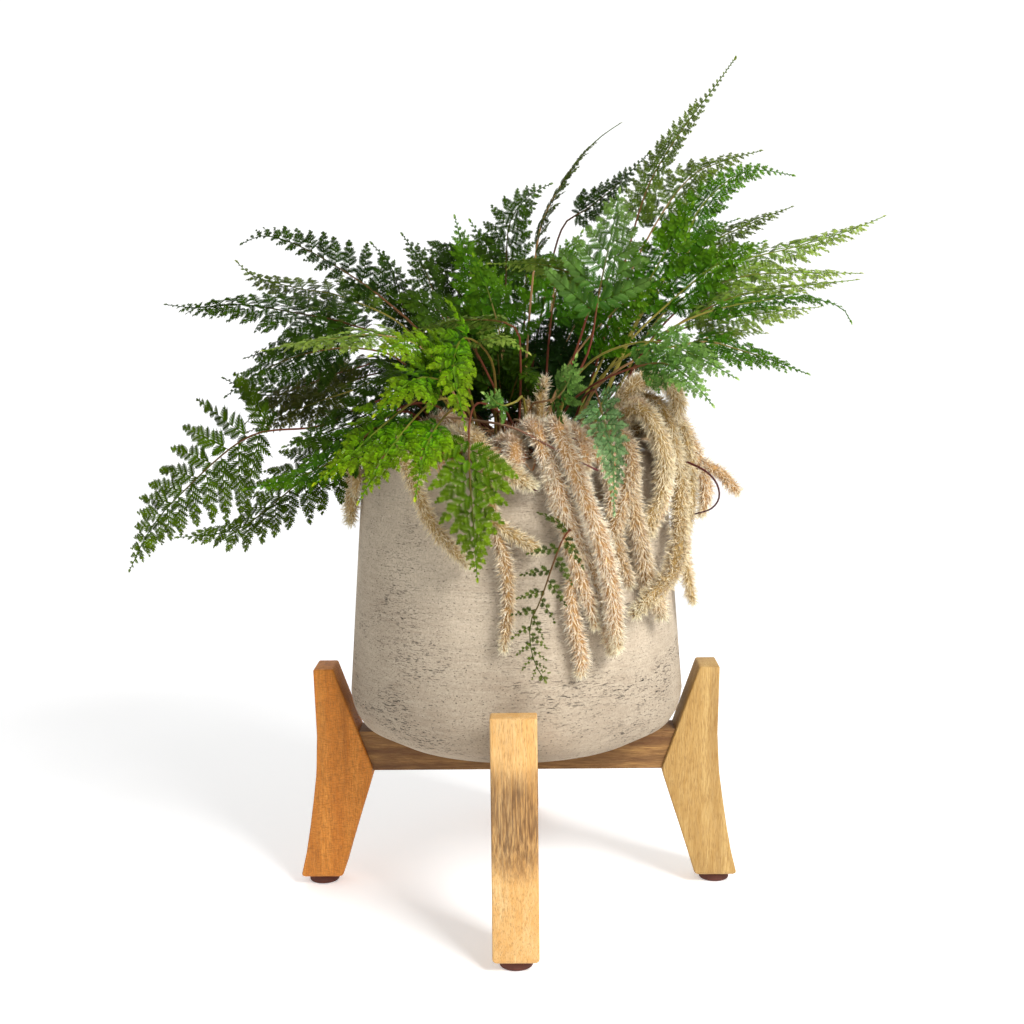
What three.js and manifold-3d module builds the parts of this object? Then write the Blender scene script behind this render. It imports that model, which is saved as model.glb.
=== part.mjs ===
// A hare's-foot fern in a black nursery pot, inside a washed-concrete planter on a four-legged oak stand.
// Millimetres, +Z up. The origin is on the floor under the planter's axis, and the front is -Y.
import * as THREE from "three";
import { mergeVertices } from "three/addons/utils/BufferGeometryUtils.js";
import Module from "manifold-3d";

const wasm = await Module();
wasm.setup();

// The gap between pieces that rest on or in each other.
const FIT = 0.3;

// Stand: four bent boards set radially round two half-lapped rails.
const STAND_TURN = -0.88; // degrees, the stand's slight turn to the planter's front
const LEG = { thick: 33.2, top: 180, bottom: 7, ease: 1 };
const LEG_INNER = { top: 145.9, corner: 116.4, cornerZ: 98, knee: 117, kneeZ: 91, foot: 142.9 };
const LEG_OUTER = { top: 161.8, waist: 160.4, waistZ: 125, bendRadius: 161.9, bendZ: 70, foot: 176.7 };
const LEG_CORNER = { rise: 5, inset: 1 }; // the rounded corners at the leg's foot
const RAIL = { low: 96, high: 128, thick: 27 };
const TENON = { low: 102, high: 122, thick: 14, start: 104, end: 136 };
const FOOT = { radius: 12, height: 6.7, chamfer: 1, sides: 12 };

// Planter: flat base, rounded bottom edge, then a straight taper up to a thin soft rim.
const PLANTER = {
  base: 128.3,
  baseRadius: 97.5,
  edge: 35,
  wideRadius: 132.5,
  rimRadius: 118,
  top: 355.7,
  wall: 9,
  floor: 12,
  innerEdge: 22,
  rimRound: 3.5,
  rimEase: 2,
  drain: 8,
};
const PLANTER_SIDES = 30;
const POT = {
  topRadius: 104,
  bandHeight: 18,
  band: 2,
  footRadius: 80,
  footChamfer: 3,
  footRise: 4,
  wall: 2.4,
  top: 352,
  drain: 12,
};
const POT_SIDES = 24;
const SOIL = { edgeZ: 343, crownZ: 367, foot: 0.8, sides: POT_SIDES / 2 };
const SOIL_RINGS = [1, 0.7, 0.35]; // shares of the soil's radius

// Stems: square in section, tapering from the soil to the tip.
const STEM = { depth: 13, clearFoot: 3, root: 1.3, tip: 0.45, spread: 0.9, turn: 0.4, step: 60, fewest: 2 };
const STEM_HOLE = { half: 2.8, above: 15 };
const BLADE_HALF_THICKNESS = 0.35;
const PAIR_CROWDING = 1.2; // above 1, the pairs of pinnae stand closer towards the tip
const PINNA = { arch: 0.16, lean: 24, tipLean: 26, taper: 0.85, large: 40, middle: 20 };
const CLEAR = 0.45; // a pinna that would come nearer than this to another piece grows shorter

const COLOURS = {
  oakLight: [0xe0b070, 0.55],
  oakDark: [0xb07838, 0.6],
  rubber: [0x3a1d18, 0.8],
  concrete: [0xc5baac, 0.9],
  plastic: [0x1c1d1f, 0.4],
  soil: [0x2e2018, 0.95],
  leafDark: [0x2c4a1c, 0.5],
  leafMid: [0x47761f, 0.5],
  leafBright: [0x79b01c, 0.5],
  leafPale: [0x86a862, 0.55],
  leafOlive: [0x6c8446, 0.5],
  leafBlue: [0x4a8058, 0.5],
  leafBrown: [0x5c5a2a, 0.6],
  furTan: [0xd4b08c, 0.95],
  furCream: [0xe2dcb4, 0.95],
  furRust: [0xbc7c48, 0.95],
};

const MATERIALS = Object.fromEntries(
  Object.entries(COLOURS).map(([key, [color, roughness]]) => [
    key,
    new THREE.MeshStandardMaterial({ color, roughness, metalness: 0 }),
  ]),
);

const group = new THREE.Group();

function addPiece(name, geometry, materialKey) {
  const mesh = new THREE.Mesh(geometry, MATERIALS[materialKey]);
  mesh.name = name;
  group.add(mesh);
}

const vector = ([x, y, z]) => new THREE.Vector3(x, y, z);
const radians = THREE.MathUtils.degToRad;

// Closed meshes to solids and back
function solidOf(geometry) {
  const bare = geometry.clone();
  bare.deleteAttribute("normal");
  bare.deleteAttribute("uv");
  const merged = mergeVertices(bare, 1e-4);
  const mesh = { numProp: 3, vertProperties: merged.attributes.position.array };
  mesh.triVerts = new Uint32Array(merged.index.array);
  return new wasm.Manifold(new wasm.Mesh(mesh));
}

function geometryOf(solid) {
  const { vertProperties, triVerts } = solid.getMesh();
  const geometry = new THREE.BufferGeometry();
  geometry.setAttribute("position", new THREE.BufferAttribute(vertProperties, 3));
  geometry.setIndex(new THREE.BufferAttribute(triVerts, 1));
  geometry.computeVertexNormals();
  return geometry;
}

function meshGeometry(points, triangles) {
  const geometry = new THREE.BufferGeometry();
  geometry.setFromPoints(points);
  geometry.setIndex(triangles.flat());
  return geometry;
}

function boxBetween(low, high) {
  const size = high.map((value, i) => value - low[i]);
  const centre = high.map((value, i) => (value + low[i]) / 2);
  return new THREE.BoxGeometry(...size).translate(...centre);
}

// A board cut from an outline in the radius and height plane, standing on the X axis.
function board(shape, thick, ease) {
  const options = { depth: thick, bevelEnabled: false, curveSegments: 4 };
  if (ease) {
    options.depth = thick - 2 * ease;
    options.bevelEnabled = true;
    options.bevelThickness = ease;
    options.bevelSize = ease;
    options.bevelOffset = -ease;
    options.bevelSegments = 1;
  }
  const geometry = new THREE.ExtrudeGeometry(shape, options);
  return geometry.translate(0, 0, -options.depth / 2).rotateX(Math.PI / 2);
}

// A ring of points swept round the Z axis; a profile that leaves the axis closes on itself.
function turned(profile, sides) {
  const points = profile.map(([radius, z]) => new THREE.Vector2(radius, z));
  return new THREE.LatheGeometry(points, sides).rotateX(Math.PI / 2);
}

function arc(centre, radius, from, to, steps) {
  return Array.from({ length: steps + 1 }, (_, i) => {
    const angle = radians(from + ((to - from) * i) / steps);
    return [centre[0] + radius * Math.cos(angle), centre[1] + radius * Math.sin(angle)];
  });
}

// Stand
function innerEdgeAt(z) {
  const { top, corner, cornerZ } = LEG_INNER;
  return corner + ((top - corner) * Math.max(z - cornerZ, 0)) / (LEG.top - cornerZ);
}

function legOutline() {
  const { top, corner, cornerZ, knee, kneeZ, foot } = LEG_INNER;
  const outer = LEG_OUTER;
  const { rise, inset } = LEG_CORNER;
  const shape = new THREE.Shape();
  shape.moveTo(top, LEG.top);
  shape.lineTo(corner, cornerZ);
  shape.lineTo(knee, kneeZ);
  shape.lineTo(foot - inset, LEG.bottom + rise);
  shape.quadraticCurveTo(foot, LEG.bottom, foot + rise, LEG.bottom);
  shape.lineTo(outer.foot - rise, LEG.bottom);
  shape.quadraticCurveTo(outer.foot, LEG.bottom, outer.foot - inset, LEG.bottom + rise);
  shape.quadraticCurveTo(outer.bendRadius, outer.bendZ, outer.waist, outer.waistZ);
  shape.lineTo(outer.top, LEG.top);
  shape.closePath();
  return shape;
}

function railOutline(lapFromTop) {
  const inner = (z) => innerEdgeAt(z) - FIT;
  const lap = RAIL.thick / 2 + FIT;
  const middle = (RAIL.low + RAIL.high) / 2 + (lapFromTop ? -FIT / 2 : FIT / 2);
  const low = lapFromTop ? [] : [[-lap, RAIL.low], [-lap, middle], [lap, middle], [lap, RAIL.low]];
  const high = lapFromTop ? [[lap, RAIL.high], [lap, middle], [-lap, middle], [-lap, RAIL.high]] : [];
  const outline = [
    [-inner(RAIL.low), RAIL.low],
    ...low,
    [inner(RAIL.low), RAIL.low],
    [inner(LEG_INNER.cornerZ), LEG_INNER.cornerZ],
    [inner(RAIL.high), RAIL.high],
    ...high,
    [-inner(RAIL.high), RAIL.high],
    [-inner(LEG_INNER.cornerZ), LEG_INNER.cornerZ],
  ];
  return new THREE.Shape(outline.map(([x, y]) => new THREE.Vector2(x, y)));
}

function tenon(side, clearance) {
  const half = TENON.thick / 2 + clearance;
  const [near, far] = [TENON.start, TENON.end - FIT + clearance];
  const [low, high] = [TENON.low + FIT - clearance, TENON.high - FIT + clearance];
  return side > 0
    ? boxBetween([near, -half, low], [far, half, high])
    : boxBetween([-far, -half, low], [-near, half, high]);
}

function buildStand() {
  const turn = radians(STAND_TURN);
  const leg = solidOf(board(legOutline(), LEG.thick, LEG.ease)).subtract(solidOf(tenon(1, FIT)));
  const footRing = [
    [0, 0],
    [FOOT.radius - FOOT.chamfer, 0],
    [FOOT.radius, FOOT.chamfer],
    [FOOT.radius, FOOT.height],
    [0, FOOT.height],
  ];
  const footCentre = (LEG_INNER.foot + LEG_OUTER.foot) / 2;
  ["right", "back", "left", "front"].forEach((place, i) => {
    const angle = turn + (i * Math.PI) / 2;
    addPiece(`leg_${place}`, geometryOf(leg).rotateZ(angle), i % 3 ? "oakDark" : "oakLight");
    const foot = turned(footRing, FOOT.sides).translate(footCentre, 0, 0).rotateZ(angle);
    addPiece(`foot_pad_${place}`, foot, "rubber");
  });
  ["rail_side_to_side", "rail_front_to_back"].forEach((name, i) => {
    const rail = [1, -1].reduce(
      (solid, side) => solid.add(solidOf(tenon(side, 0))),
      solidOf(board(railOutline(i === 0), RAIL.thick, 0)),
    );
    addPiece(name, geometryOf(rail).rotateZ(turn + (i * Math.PI) / 2), "oakDark");
  });
}

// Planter, nursery pot and soil
const WALL_SLOPE = (PLANTER.wideRadius - PLANTER.rimRadius) / (PLANTER.top - PLANTER.base - PLANTER.edge);

function planterProfile() {
  const p = PLANTER;
  const innerAt = (z) => p.rimRadius - p.wall + WALL_SLOPE * (p.top - z);
  const floor = p.base + p.floor;
  const innerFoot = innerAt(floor + p.innerEdge);
  return [
    [p.drain, p.base],
    ...arc([p.baseRadius, p.base + p.edge], p.edge, -90, 0, 5),
    ...arc([p.rimRadius - p.rimRound, p.top - p.rimRound], p.rimRound, 0, 90, 2),
    ...arc([p.rimRadius - p.wall + p.rimEase, p.top - p.rimEase], p.rimEase, 90, 180, 2),
    ...arc([innerFoot - p.innerEdge, floor + p.innerEdge], p.innerEdge, 0, -90, 2),
    [p.drain, floor],
    [p.drain, p.base],
  ];
}

const potFloor = PLANTER.base + PLANTER.floor + FIT;

function potInnerRadius(z) {
  const share = (z - potFloor) / (POT.top - potFloor);
  return POT.footRadius + (POT.topRadius - POT.band - POT.footRadius) * share - POT.wall;
}

function potProfile() {
  const bandZ = POT.top - POT.bandHeight;
  const outer = (z) => potInnerRadius(z) + POT.wall;
  return [
    [POT.drain, potFloor],
    [POT.footRadius - POT.footChamfer, potFloor],
    [outer(potFloor + POT.footRise), potFloor + POT.footRise],
    [outer(bandZ), bandZ],
    [POT.topRadius, bandZ],
    [POT.topRadius, POT.top],
    [potInnerRadius(POT.top), POT.top],
    [potInnerRadius(potFloor + POT.wall), potFloor + POT.wall],
    [POT.drain, potFloor + POT.wall],
    [POT.drain, potFloor],
  ];
}

// The soil's top is a low dome, highest under the crown.
function soilTop(radius) {
  const edge = potInnerRadius(SOIL.edgeZ) - FIT;
  return SOIL.edgeZ + (SOIL.crownZ - SOIL.edgeZ) * (1 - (radius / edge) ** 2);
}

function buildSoil() {
  const low = potFloor + POT.wall + FIT;
  const edge = potInnerRadius(SOIL.edgeZ) - FIT;
  const rings = SOIL_RINGS.map((share) => [edge * share, soilTop(edge * share)]);
  const profile = [[0, low], [potInnerRadius(low) - SOIL.foot, low], ...rings, [0, SOIL.crownZ]];
  return solidOf(turned(profile, SOIL.sides));
}

// Rhizomes: furry creeping stems, each a tapered run of rings; branches of a bunch are joined.
const RHIZOME = { sides: 6, step: 30, tip: 0.35, tipFrom: 0.85, swell: 0.07, swellTurn: 2.3 };

function rhizomeRings(route, radius, growth) {
  const curve = new THREE.CatmullRomCurve3(route.map(vector), false, "catmullrom", 0.5);
  const steps = Math.max(3, Math.round(curve.getLength() / RHIZOME.step));
  const frames = curve.computeFrenetFrames(steps, false);
  return Array.from({ length: steps + 1 }, (_, i) => {
    const share = i / steps;
    const swell = 1 + RHIZOME.swell * Math.sin(RHIZOME.swellTurn * i);
    const past = Math.max(0, share - RHIZOME.tipFrom) / (1 - RHIZOME.tipFrom);
    const size = radius * swell * (1 - (1 - RHIZOME.tip) * past) + growth;
    const centre = curve.getPointAt(share);
    return Array.from({ length: RHIZOME.sides }, (_, k) => {
      const angle = (k / RHIZOME.sides) * 2 * Math.PI;
      return centre
        .clone()
        .addScaledVector(frames.normals[i], size * Math.cos(angle))
        .addScaledVector(frames.binormals[i], size * Math.sin(angle));
    });
  });
}

function loft(rings) {
  const sides = rings[0].length;
  const triangles = [];
  rings.slice(1).forEach((_, i) => {
    for (let k = 0; k < sides; k++) {
      const [a, b] = [i * sides + k, i * sides + ((k + 1) % sides)];
      triangles.push([a, b, b + sides], [a, b + sides, a + sides]);
    }
  });
  const last = (rings.length - 1) * sides;
  for (let k = 1; k < sides - 1; k++) {
    triangles.push([0, k + 1, k], [last, last + k, last + k + 1]);
  }
  return solidOf(meshGeometry(rings.flat(), triangles));
}

// Each route starts in the soil, or on the branch before it, and ends at the growing tip.
const RHIZOMES = [
  {
    name: "rhizome_main_hank",
    fur: "furTan",
    branches: [
      { radius: 6, route: [[12, -74, 350], [17, -92, 373], [23, -116, 370], [29, -128, 344], [39, -126, 313],
        [53, -122, 284], [64, -120, 254], [69, -121, 216]] },
      { radius: 6, route: [[28, -72, 350], [31, -102, 378], [33, -128, 374], [48, -135, 334], [60, -134, 300],
        [68, -132, 264], [72, -133, 222]] },
      { radius: 5, route: [[50, -124, 292], [40, -126, 266], [41, -127, 241], [46, -128, 219], [46, -129, 202]] },
      { radius: 7, route: [[-12, -80, 350], [0, -84, 366], [18, -84, 372], [34, -80, 368], [42, -74, 350]] },
    ],
  },
  {
    name: "rhizome_left_bunch",
    fur: "furCream",
    branches: [
      { radius: 6, route: [[-50, -62, 350], [-44, -82, 370], [-30, -114, 372], [-18, -130, 359], [-4, -132, 348],
        [14, -132, 338]] },
      { radius: 4, route: [[-24, -124, 364], [-20, -128, 345], [-16, -127, 325], [-13, -128, 305], [-7, -130, 284],
        [-5, -132, 255], [-9, -135, 222]] },
      { radius: 4, route: [[-14, -129, 312], [4, -130, 301], [17, -131, 293]] },
      { radius: 7, route: [[-60, -48, 348], [-59, -60, 364], [-48, -70, 370], [-34, -76, 364], [-28, -76, 348]] },
    ],
  },
  {
    name: "rhizome_left_thin",
    fur: "furRust",
    branches: [
      { radius: 4.5, route: [[-72, -44, 348], [-80, -62, 367], [-83, -98, 364], [-70, -110, 335], [-60, -115, 312],
        [-45, -123, 294], [-33, -128, 282]] },
    ],
  },
  {
    name: "rhizome_inner_bunch",
    fur: "furRust",
    branches: [
      { radius: 6, route: [[52, -68, 350], [66, -88, 373], [79, -98, 368], [84, -103, 345], [75, -109, 316],
        [66, -117, 292]] },
      { radius: 6, route: [[82, -100, 350], [84, -103, 327], [91, -100, 292], [96, -96, 268], [109, -86, 234]] },
      { radius: 4.5, route: [[72, -110, 310], [74, -111, 288], [83, -108, 262]] },
    ],
  },
  {
    name: "rhizome_right_bunch",
    fur: "furCream",
    branches: [
      { radius: 6, route: [[80, -28, 350], [94, -38, 370], [112, -50, 370], [124, -53, 345], [124, -60, 300],
        [117, -88, 272], [100, -112, 258], [84, -126, 245]] },
      { radius: 6, route: [[74, -52, 350], [79, -64, 386], [91, -68, 406], [106, -68, 409], [119, -66, 402],
        [122, -61, 388], [111, -48, 368]] },
      { radius: 6, route: [[76, -56, 362], [80, -72, 382], [93, -86, 388], [103, -88, 376], [109, -85, 358],
        [113, -80, 336]] },
      { radius: 5, route: [[110, -84, 352], [108, -82, 324], [100, -88, 310], [97, -92, 296]] },
    ],
  },
  {
    name: "rhizome_edge_bunch",
    fur: "furTan",
    branches: [
      { radius: 5.5, route: [[82, -8, 350], [98, -16, 372], [116, -24, 379], [130, -27, 372], [140, -30, 348],
        [147, -34, 325], [144, -36, 303]] },
      { radius: 4.3, route: [[128, -26, 374], [136, -18, 350], [138, -18, 320], [132, -24, 289], [133, -30, 262],
        [137, -36, 236]] },
      { radius: 4, route: [[142, -31, 344], [158, -35, 336], [172, -38, 320]] },
    ],
  },
];

// Rhizomes on the sides that the front view hides: out of the soil, over the rim and down the wall.
const HIDDEN_RHIZOMES = [
  { name: "rhizome_back_right", angle: 28, drops: [95, 60], fur: "furTan" },
  { name: "rhizome_back_middle", angle: 84, drops: [120, 70], fur: "furRust" },
  { name: "rhizome_back_left", angle: 136, drops: [85, 50], fur: "furTan" },
  { name: "rhizome_side_left", angle: 186, drops: [65, 40], fur: "furCream" },
];
const OVER_RIM = { thickest: 6, thinner: 1, apart: 5, offWall: 2, knee: 15 };

const wallRadius = (z) => PLANTER.rimRadius + WALL_SLOPE * (PLANTER.top - z);

function hiddenRoute(angle, drop, radius) {
  const at = (r, turn, z) => {
    const a = radians(angle + turn);
    return [r * Math.cos(a), r * Math.sin(a), z];
  };
  const off = radius + OVER_RIM.offWall;
  const over = PLANTER.top + off;
  const onWall = (turn, fall) => at(wallRadius(over - fall) + off, turn, over - fall);
  return [
    at(70, -5, SOIL.edgeZ + 3),
    at(88, -3, over),
    at(105, -1, over + 6),
    at(120, 1, over + 4),
    onWall(2, OVER_RIM.knee),
    onWall(7, drop * 0.6),
    onWall(5, drop),
  ];
}

function hiddenBunch({ name, angle, drops, fur }) {
  const branches = drops.map((drop, i) => {
    const radius = OVER_RIM.thickest - OVER_RIM.thinner * i;
    return { radius, route: hiddenRoute(angle + OVER_RIM.apart * i, drop, radius) };
  });
  return { name, fur, branches };
}

// Fronds. Each blade is a rib with pinnae cut to it on both sides, arched down towards their tips.
// base: where the stems stand in the soil; route: the rib's way to its tip; blade: its leafy length;
// width: the lowest pinnae's length; face: the way the upper side looks; sides: left and right lengths.
const FRONDS = [
  { name: "frond_low_left", leaf: "leafDark", base: [-56, -22], fronds: [
    { blade: 172, width: 56, pairs: 8, face: [-0.1, -1, 0.25],
      route: [[-95, -45, 395], [-145, -55, 377], [-200, -50, 369], [-255, -42, 325], [-282, -33, 296], [-303, -20, 262]] },
  ] },
  { name: "frond_left_front_pair", leaf: "leafDark", base: [-50, -33], fronds: [
    { blade: 135, width: 34, pairs: 6, face: [-0.15, -0.45, 0.85],
      route: [[-85, -65, 388], [-142, -85, 350], [-177, -100, 322], [-202, -105, 306], [-243, -110, 302]] },
    { blade: 70, width: 20, pairs: 5, face: [0, -0.7, 0.7],
      route: [[-78, -72, 398], [-121, -92, 380], [-164, -105, 366]] },
  ] },
  { name: "frond_left_bright_pair", leaf: "leafBright", base: [-43, -42], fronds: [
    { blade: 95, width: 28, pairs: 5, face: [0, -0.6, 0.8],
      route: [[-55, -60, 390], [-82, -98, 392], [-119, -122, 362], [-149, -135, 348], [-186, -145, 340]] },
    { blade: 80, width: 30, pairs: 5, face: [-0.3, -0.8, 0.5],
      route: [[-50, -62, 394], [-62, -116, 402], [-86, -145, 386], [-111, -162, 364], [-134, -172, 346]] },
  ] },
  { name: "frond_rim_bright_pair", leaf: "leafBright", base: [-34, -49], fronds: [
    { blade: 75, width: 28, pairs: 5, face: [-0.2, -0.6, 0.75],
      route: [[-40, -62, 392], [-56, -126, 398], [-76, -155, 378], [-90, -172, 358], [-104, -178, 334]] },
    { blade: 60, width: 20, pairs: 5, face: [0, -0.6, 0.8],
      route: [[-33, -64, 385], [-43, -131, 392], [-56, -161, 376], [-62, -174, 357], [-66, -178, 336]] },
  ] },
  { name: "frond_left_brown_pair", leaf: "leafBrown", base: [-52, 4], fronds: [
    { blade: 120, width: 36, pairs: 5, face: [0, -0.6, 0.8],
      route: [[-90, 25, 420], [-130, 45, 416], [-168, 60, 404], [-203, 70, 391], [-226, 75, 370]] },
    { blade: 105, width: 32, pairs: 5, face: [0, -0.8, 0.6],
      route: [[-92, 2, 408], [-128, 2, 400], [-168, 6, 387], [-212, 10, 368]] },
  ] },
  { name: "frond_left_back_pair", leaf: "leafDark", base: [-48, 24], fronds: [
    { blade: 125, width: 38, pairs: 5, face: [0, -0.8, 0.6],
      route: [[-100, 62, 410], [-146, 82, 402], [-212, 100, 393], [-250, 110, 408]] },
    { blade: 120, width: 42, pairs: 5, face: [0, -0.7, 0.7],
      route: [[-95, 68, 436], [-146, 92, 440], [-191, 110, 436], [-234, 125, 424]] },
  ] },
  { name: "frond_left_arch", leaf: "leafDark", base: [-34, 12], fronds: [
    { blade: 125, width: 36, pairs: 6, face: [0, -0.9, 0.3], sides: [0.5, 1],
      route: [[-68, 12, 438], [-100, 10, 471], [-129, 15, 492], [-167, 25, 514], [-196, 30, 523], [-216, 35, 517]] },
  ] },
  { name: "frond_left_upper", leaf: "leafOlive", base: [-42, 36], fronds: [
    { blade: 130, width: 38, pairs: 5, face: [0, -0.6, 0.75],
      route: [[-80, 48, 442], [-137, 60, 474], [-175, 70, 482], [-214, 80, 493], [-230, 85, 506]] },
  ] },
  { name: "frond_left_long_pair", leaf: "leafDark", base: [-54, -10], fronds: [
    { blade: 165, width: 42, pairs: 6, face: [0, -0.6, 0.8],
      route: [[-85, -10, 432], [-125, -10, 452], [-165, 0, 461], [-214, 10, 469], [-251, 20, 467], [-278, 30, 470]] },
    { blade: 105, width: 36, pairs: 5, face: [0, -0.8, 0.6],
      route: [[-82, -16, 420], [-118, -20, 434], [-160, -22, 430], [-196, -22, 416], [-222, -20, 398]] },
  ] },
  { name: "frond_left_edge_on", leaf: "leafPale", base: [-28, -34], fronds: [
    { blade: 105, width: 32, pairs: 5, face: [0.1, -0.3, 0.95],
      route: [[-62, -60, 430], [-97, -70, 444], [-130, -80, 442], [-153, -85, 439], [-180, -90, 434]] },
  ] },
  { name: "frond_top_left_pair", leaf: "leafDark", base: [-20, 36], fronds: [
    { blade: 75, width: 20, pairs: 5, face: [0.3, -0.9, 0.2],
      route: [[-56, 48, 425], [-84, 60, 450], [-93, 68, 480], [-101, 78, 501], [-116, 80, 519]] },
    { blade: 65, width: 24, pairs: 5, face: [0, -0.8, 0.5],
      route: [[-30, 48, 448], [-42, 62, 474], [-60, 78, 496], [-79, 88, 510]] },
  ] },
  { name: "frond_top_middle_pair", leaf: "leafMid", base: [-12, 22], fronds: [
    { blade: 90, width: 30, pairs: 5, face: [0, -0.9, 0.3],
      route: [[-20, 28, 440], [-26, 32, 470], [-37, 40, 506], [-45, 45, 537]] },
    { blade: 95, width: 36, pairs: 5, face: [0, -0.9, 0.3],
      route: [[-6, 58, 448], [-10, 72, 480], [-22, 82, 516], [-34, 88, 537]] },
  ] },
  { name: "frond_top_middle", leaf: "leafDark", base: [2, 32], fronds: [
    { blade: 105, width: 36, pairs: 5, face: [0.2, -0.9, 0.3],
      route: [[-4, 38, 450], [-4, 42, 502], [0, 46, 534], [16, 50, 554], [33, 55, 563]] },
  ] },
  { name: "frond_top_thin_pair", leaf: "leafOlive", base: [8, -8], fronds: [
    { blade: 125, width: 24, pairs: 6, face: [-0.75, -0.1, 0.65],
      route: [[12, -10, 440], [20, -10, 511], [30, -5, 541], [52, 0, 575], [70, 5, 593], [86, 10, 604]] },
    { blade: 110, width: 32, pairs: 5, face: [0, -1, 0.2],
      route: [[22, 45, 450], [41, 78, 526], [62, 85, 544], [86, 90, 562], [117, 95, 592]] },
  ] },
  { name: "frond_centre_pale_pair", leaf: "leafPale", base: [24, -38], fronds: [
    { blade: 90, width: 48, pairs: 5, face: [-0.1, 0.9, 0.3],
      route: [[42, -56, 402], [57, -60, 432], [64, -58, 470], [69, -62, 495], [74, -68, 518], [79, -70, 546]] },
    { blade: 75, width: 22, pairs: 5, face: [0, 0.5, 0.85],
      route: [[38, -52, 405], [54, -50, 450], [58, -46, 478], [26, -50, 494], [-16, -62, 495]] },
  ] },
  { name: "frond_centre_level_pair", leaf: "leafPale", base: [4, -42], fronds: [
    { blade: 85, width: 22, pairs: 5, face: [0, 0.35, 0.95],
      route: [[6, -72, 425], [0, -84, 450], [-40, -104, 454], [-81, -118, 443]] },
    { blade: 50, width: 15, pairs: 4, face: [0, -0.5, 0.9],
      route: [[-20, -90, 420], [-26, -108, 437], [-8, -120, 441], [11, -130, 431]] },
  ] },
  { name: "frond_front_bright_pair", leaf: "leafBright", base: [-24, -55], fronds: [
    { blade: 72, width: 30, pairs: 5, face: [0, -0.8, 0.6],
      route: [[-34, -98, 412], [-52, -122, 428], [-74, -140, 438], [-96, -150, 431]] },
    { blade: 66, width: 26, pairs: 5, face: [-0.2, -0.9, 0.4],
      route: [[-38, -118, 404], [-60, -150, 416], [-76, -166, 408], [-92, -174, 392]] },
  ] },
  { name: "frond_front_bright", leaf: "leafBright", base: [-13, -58], fronds: [
    { blade: 82, width: 27, pairs: 5, face: [0.2, -0.95, 0.2],
      route: [[-14, -98, 422], [-32, -126, 442], [-40, -152, 424], [-32, -166, 382]] },
  ] },
  { name: "frond_front_hanging", leaf: "leafMid", base: [-2, -60], fronds: [
    { blade: 95, width: 29, pairs: 6, face: [0, -1, 0.15],
      route: [[-8, -70, 384], [-24, -112, 396], [-30, -142, 384], [-30, -156, 350], [-28, -158, 318], [-26, -154, 276]] },
  ] },
  { name: "frond_front_pale_hanging", leaf: "leafBlue", base: [41, -44], fronds: [
    { blade: 85, width: 15, pairs: 6, face: [0.2, 0.95, 0.1],
      route: [[50, -66, 392], [56, -102, 403], [58, -132, 403], [61, -154, 388], [67, -162, 364], [68, -160, 322]] },
  ] },
  { name: "frond_front_young_pair", leaf: "leafBlue", base: [9, -59], fronds: [
    { blade: 40, width: 20, pairs: 4, face: [0, -0.9, 0.3],
      route: [[13, -70, 390], [22, -104, 396], [32, -122, 400], [40, -132, 414], [44, -136, 428]] },
    { blade: 30, width: 14, pairs: 4, face: [-0.2, -0.9, 0.3],
      route: [[8, -72, 396], [2, -104, 396], [-8, -120, 394], [-14, -130, 400], [-20, -140, 404]] },
  ] },
  { name: "frond_tallest", leaf: "leafOlive", base: [50, 8], fronds: [
    { blade: 150, width: 21, pairs: 6, face: [0.45, -0.8, 0.2],
      route: [[76, 14, 450], [102, 20, 540], [118, 22, 575], [141, 25, 608], [157, 27, 628], [178, 30, 656]] },
  ] },
  { name: "frond_upper_right_pair", leaf: "leafMid", base: [58, -12], fronds: [
    { blade: 135, width: 27, pairs: 6, face: [0, -0.9, 0.4],
      route: [[95, -12, 450], [132, -10, 510], [145, -8, 537], [170, -5, 560], [192, 0, 566], [220, 5, 562]] },
    { blade: 60, width: 17, pairs: 5, face: [0, -0.6, 0.8],
      route: [[102, 2, 458], [142, 22, 508], [158, 30, 523], [182, 35, 532]] },
  ] },
  { name: "frond_upper_back_pair", leaf: "leafOlive", base: [44, 30], fronds: [
    { blade: 120, width: 28, pairs: 5, face: [0.2, -0.7, 0.7],
      route: [[82, 46, 460], [117, 55, 529], [146, 60, 567], [173, 65, 580], [206, 70, 589]] },
    { blade: 105, width: 26, pairs: 5, face: [0, -0.5, 0.85],
      route: [[110, 72, 460], [158, 90, 510], [206, 100, 534], [240, 110, 547]] },
  ] },
  { name: "frond_right_cluster_pair", leaf: "leafMid", base: [42, -14], fronds: [
    { blade: 85, width: 36, pairs: 5, face: [-0.2, -0.95, 0.3],
      route: [[78, -20, 440], [105, -24, 483], [122, -28, 513], [137, -32, 539]] },
    { blade: 85, width: 34, pairs: 5, face: [0, -0.8, 0.6],
      route: [[84, -26, 430], [122, -34, 468], [158, -38, 496], [190, -40, 510]] },
  ] },
  { name: "frond_far_right_pair", leaf: "leafPale", base: [63, 8], fronds: [
    { blade: 170, width: 38, pairs: 6, face: [-0.1, -0.5, 0.85],
      route: [[110, 15, 446], [149, 20, 478], [182, 25, 498], [222, 32, 508], [272, 42, 522], [303, 50, 534]] },
    { blade: 135, width: 34, pairs: 6, face: [0, -0.45, 0.9],
      route: [[108, 4, 436], [144, -14, 472], [178, -20, 485], [220, -20, 487], [268, -20, 486]] },
  ] },
  { name: "frond_right_level", leaf: "leafPale", base: [56, -22], fronds: [
    { blade: 130, width: 30, pairs: 6, face: [0, -0.35, 0.95],
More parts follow.
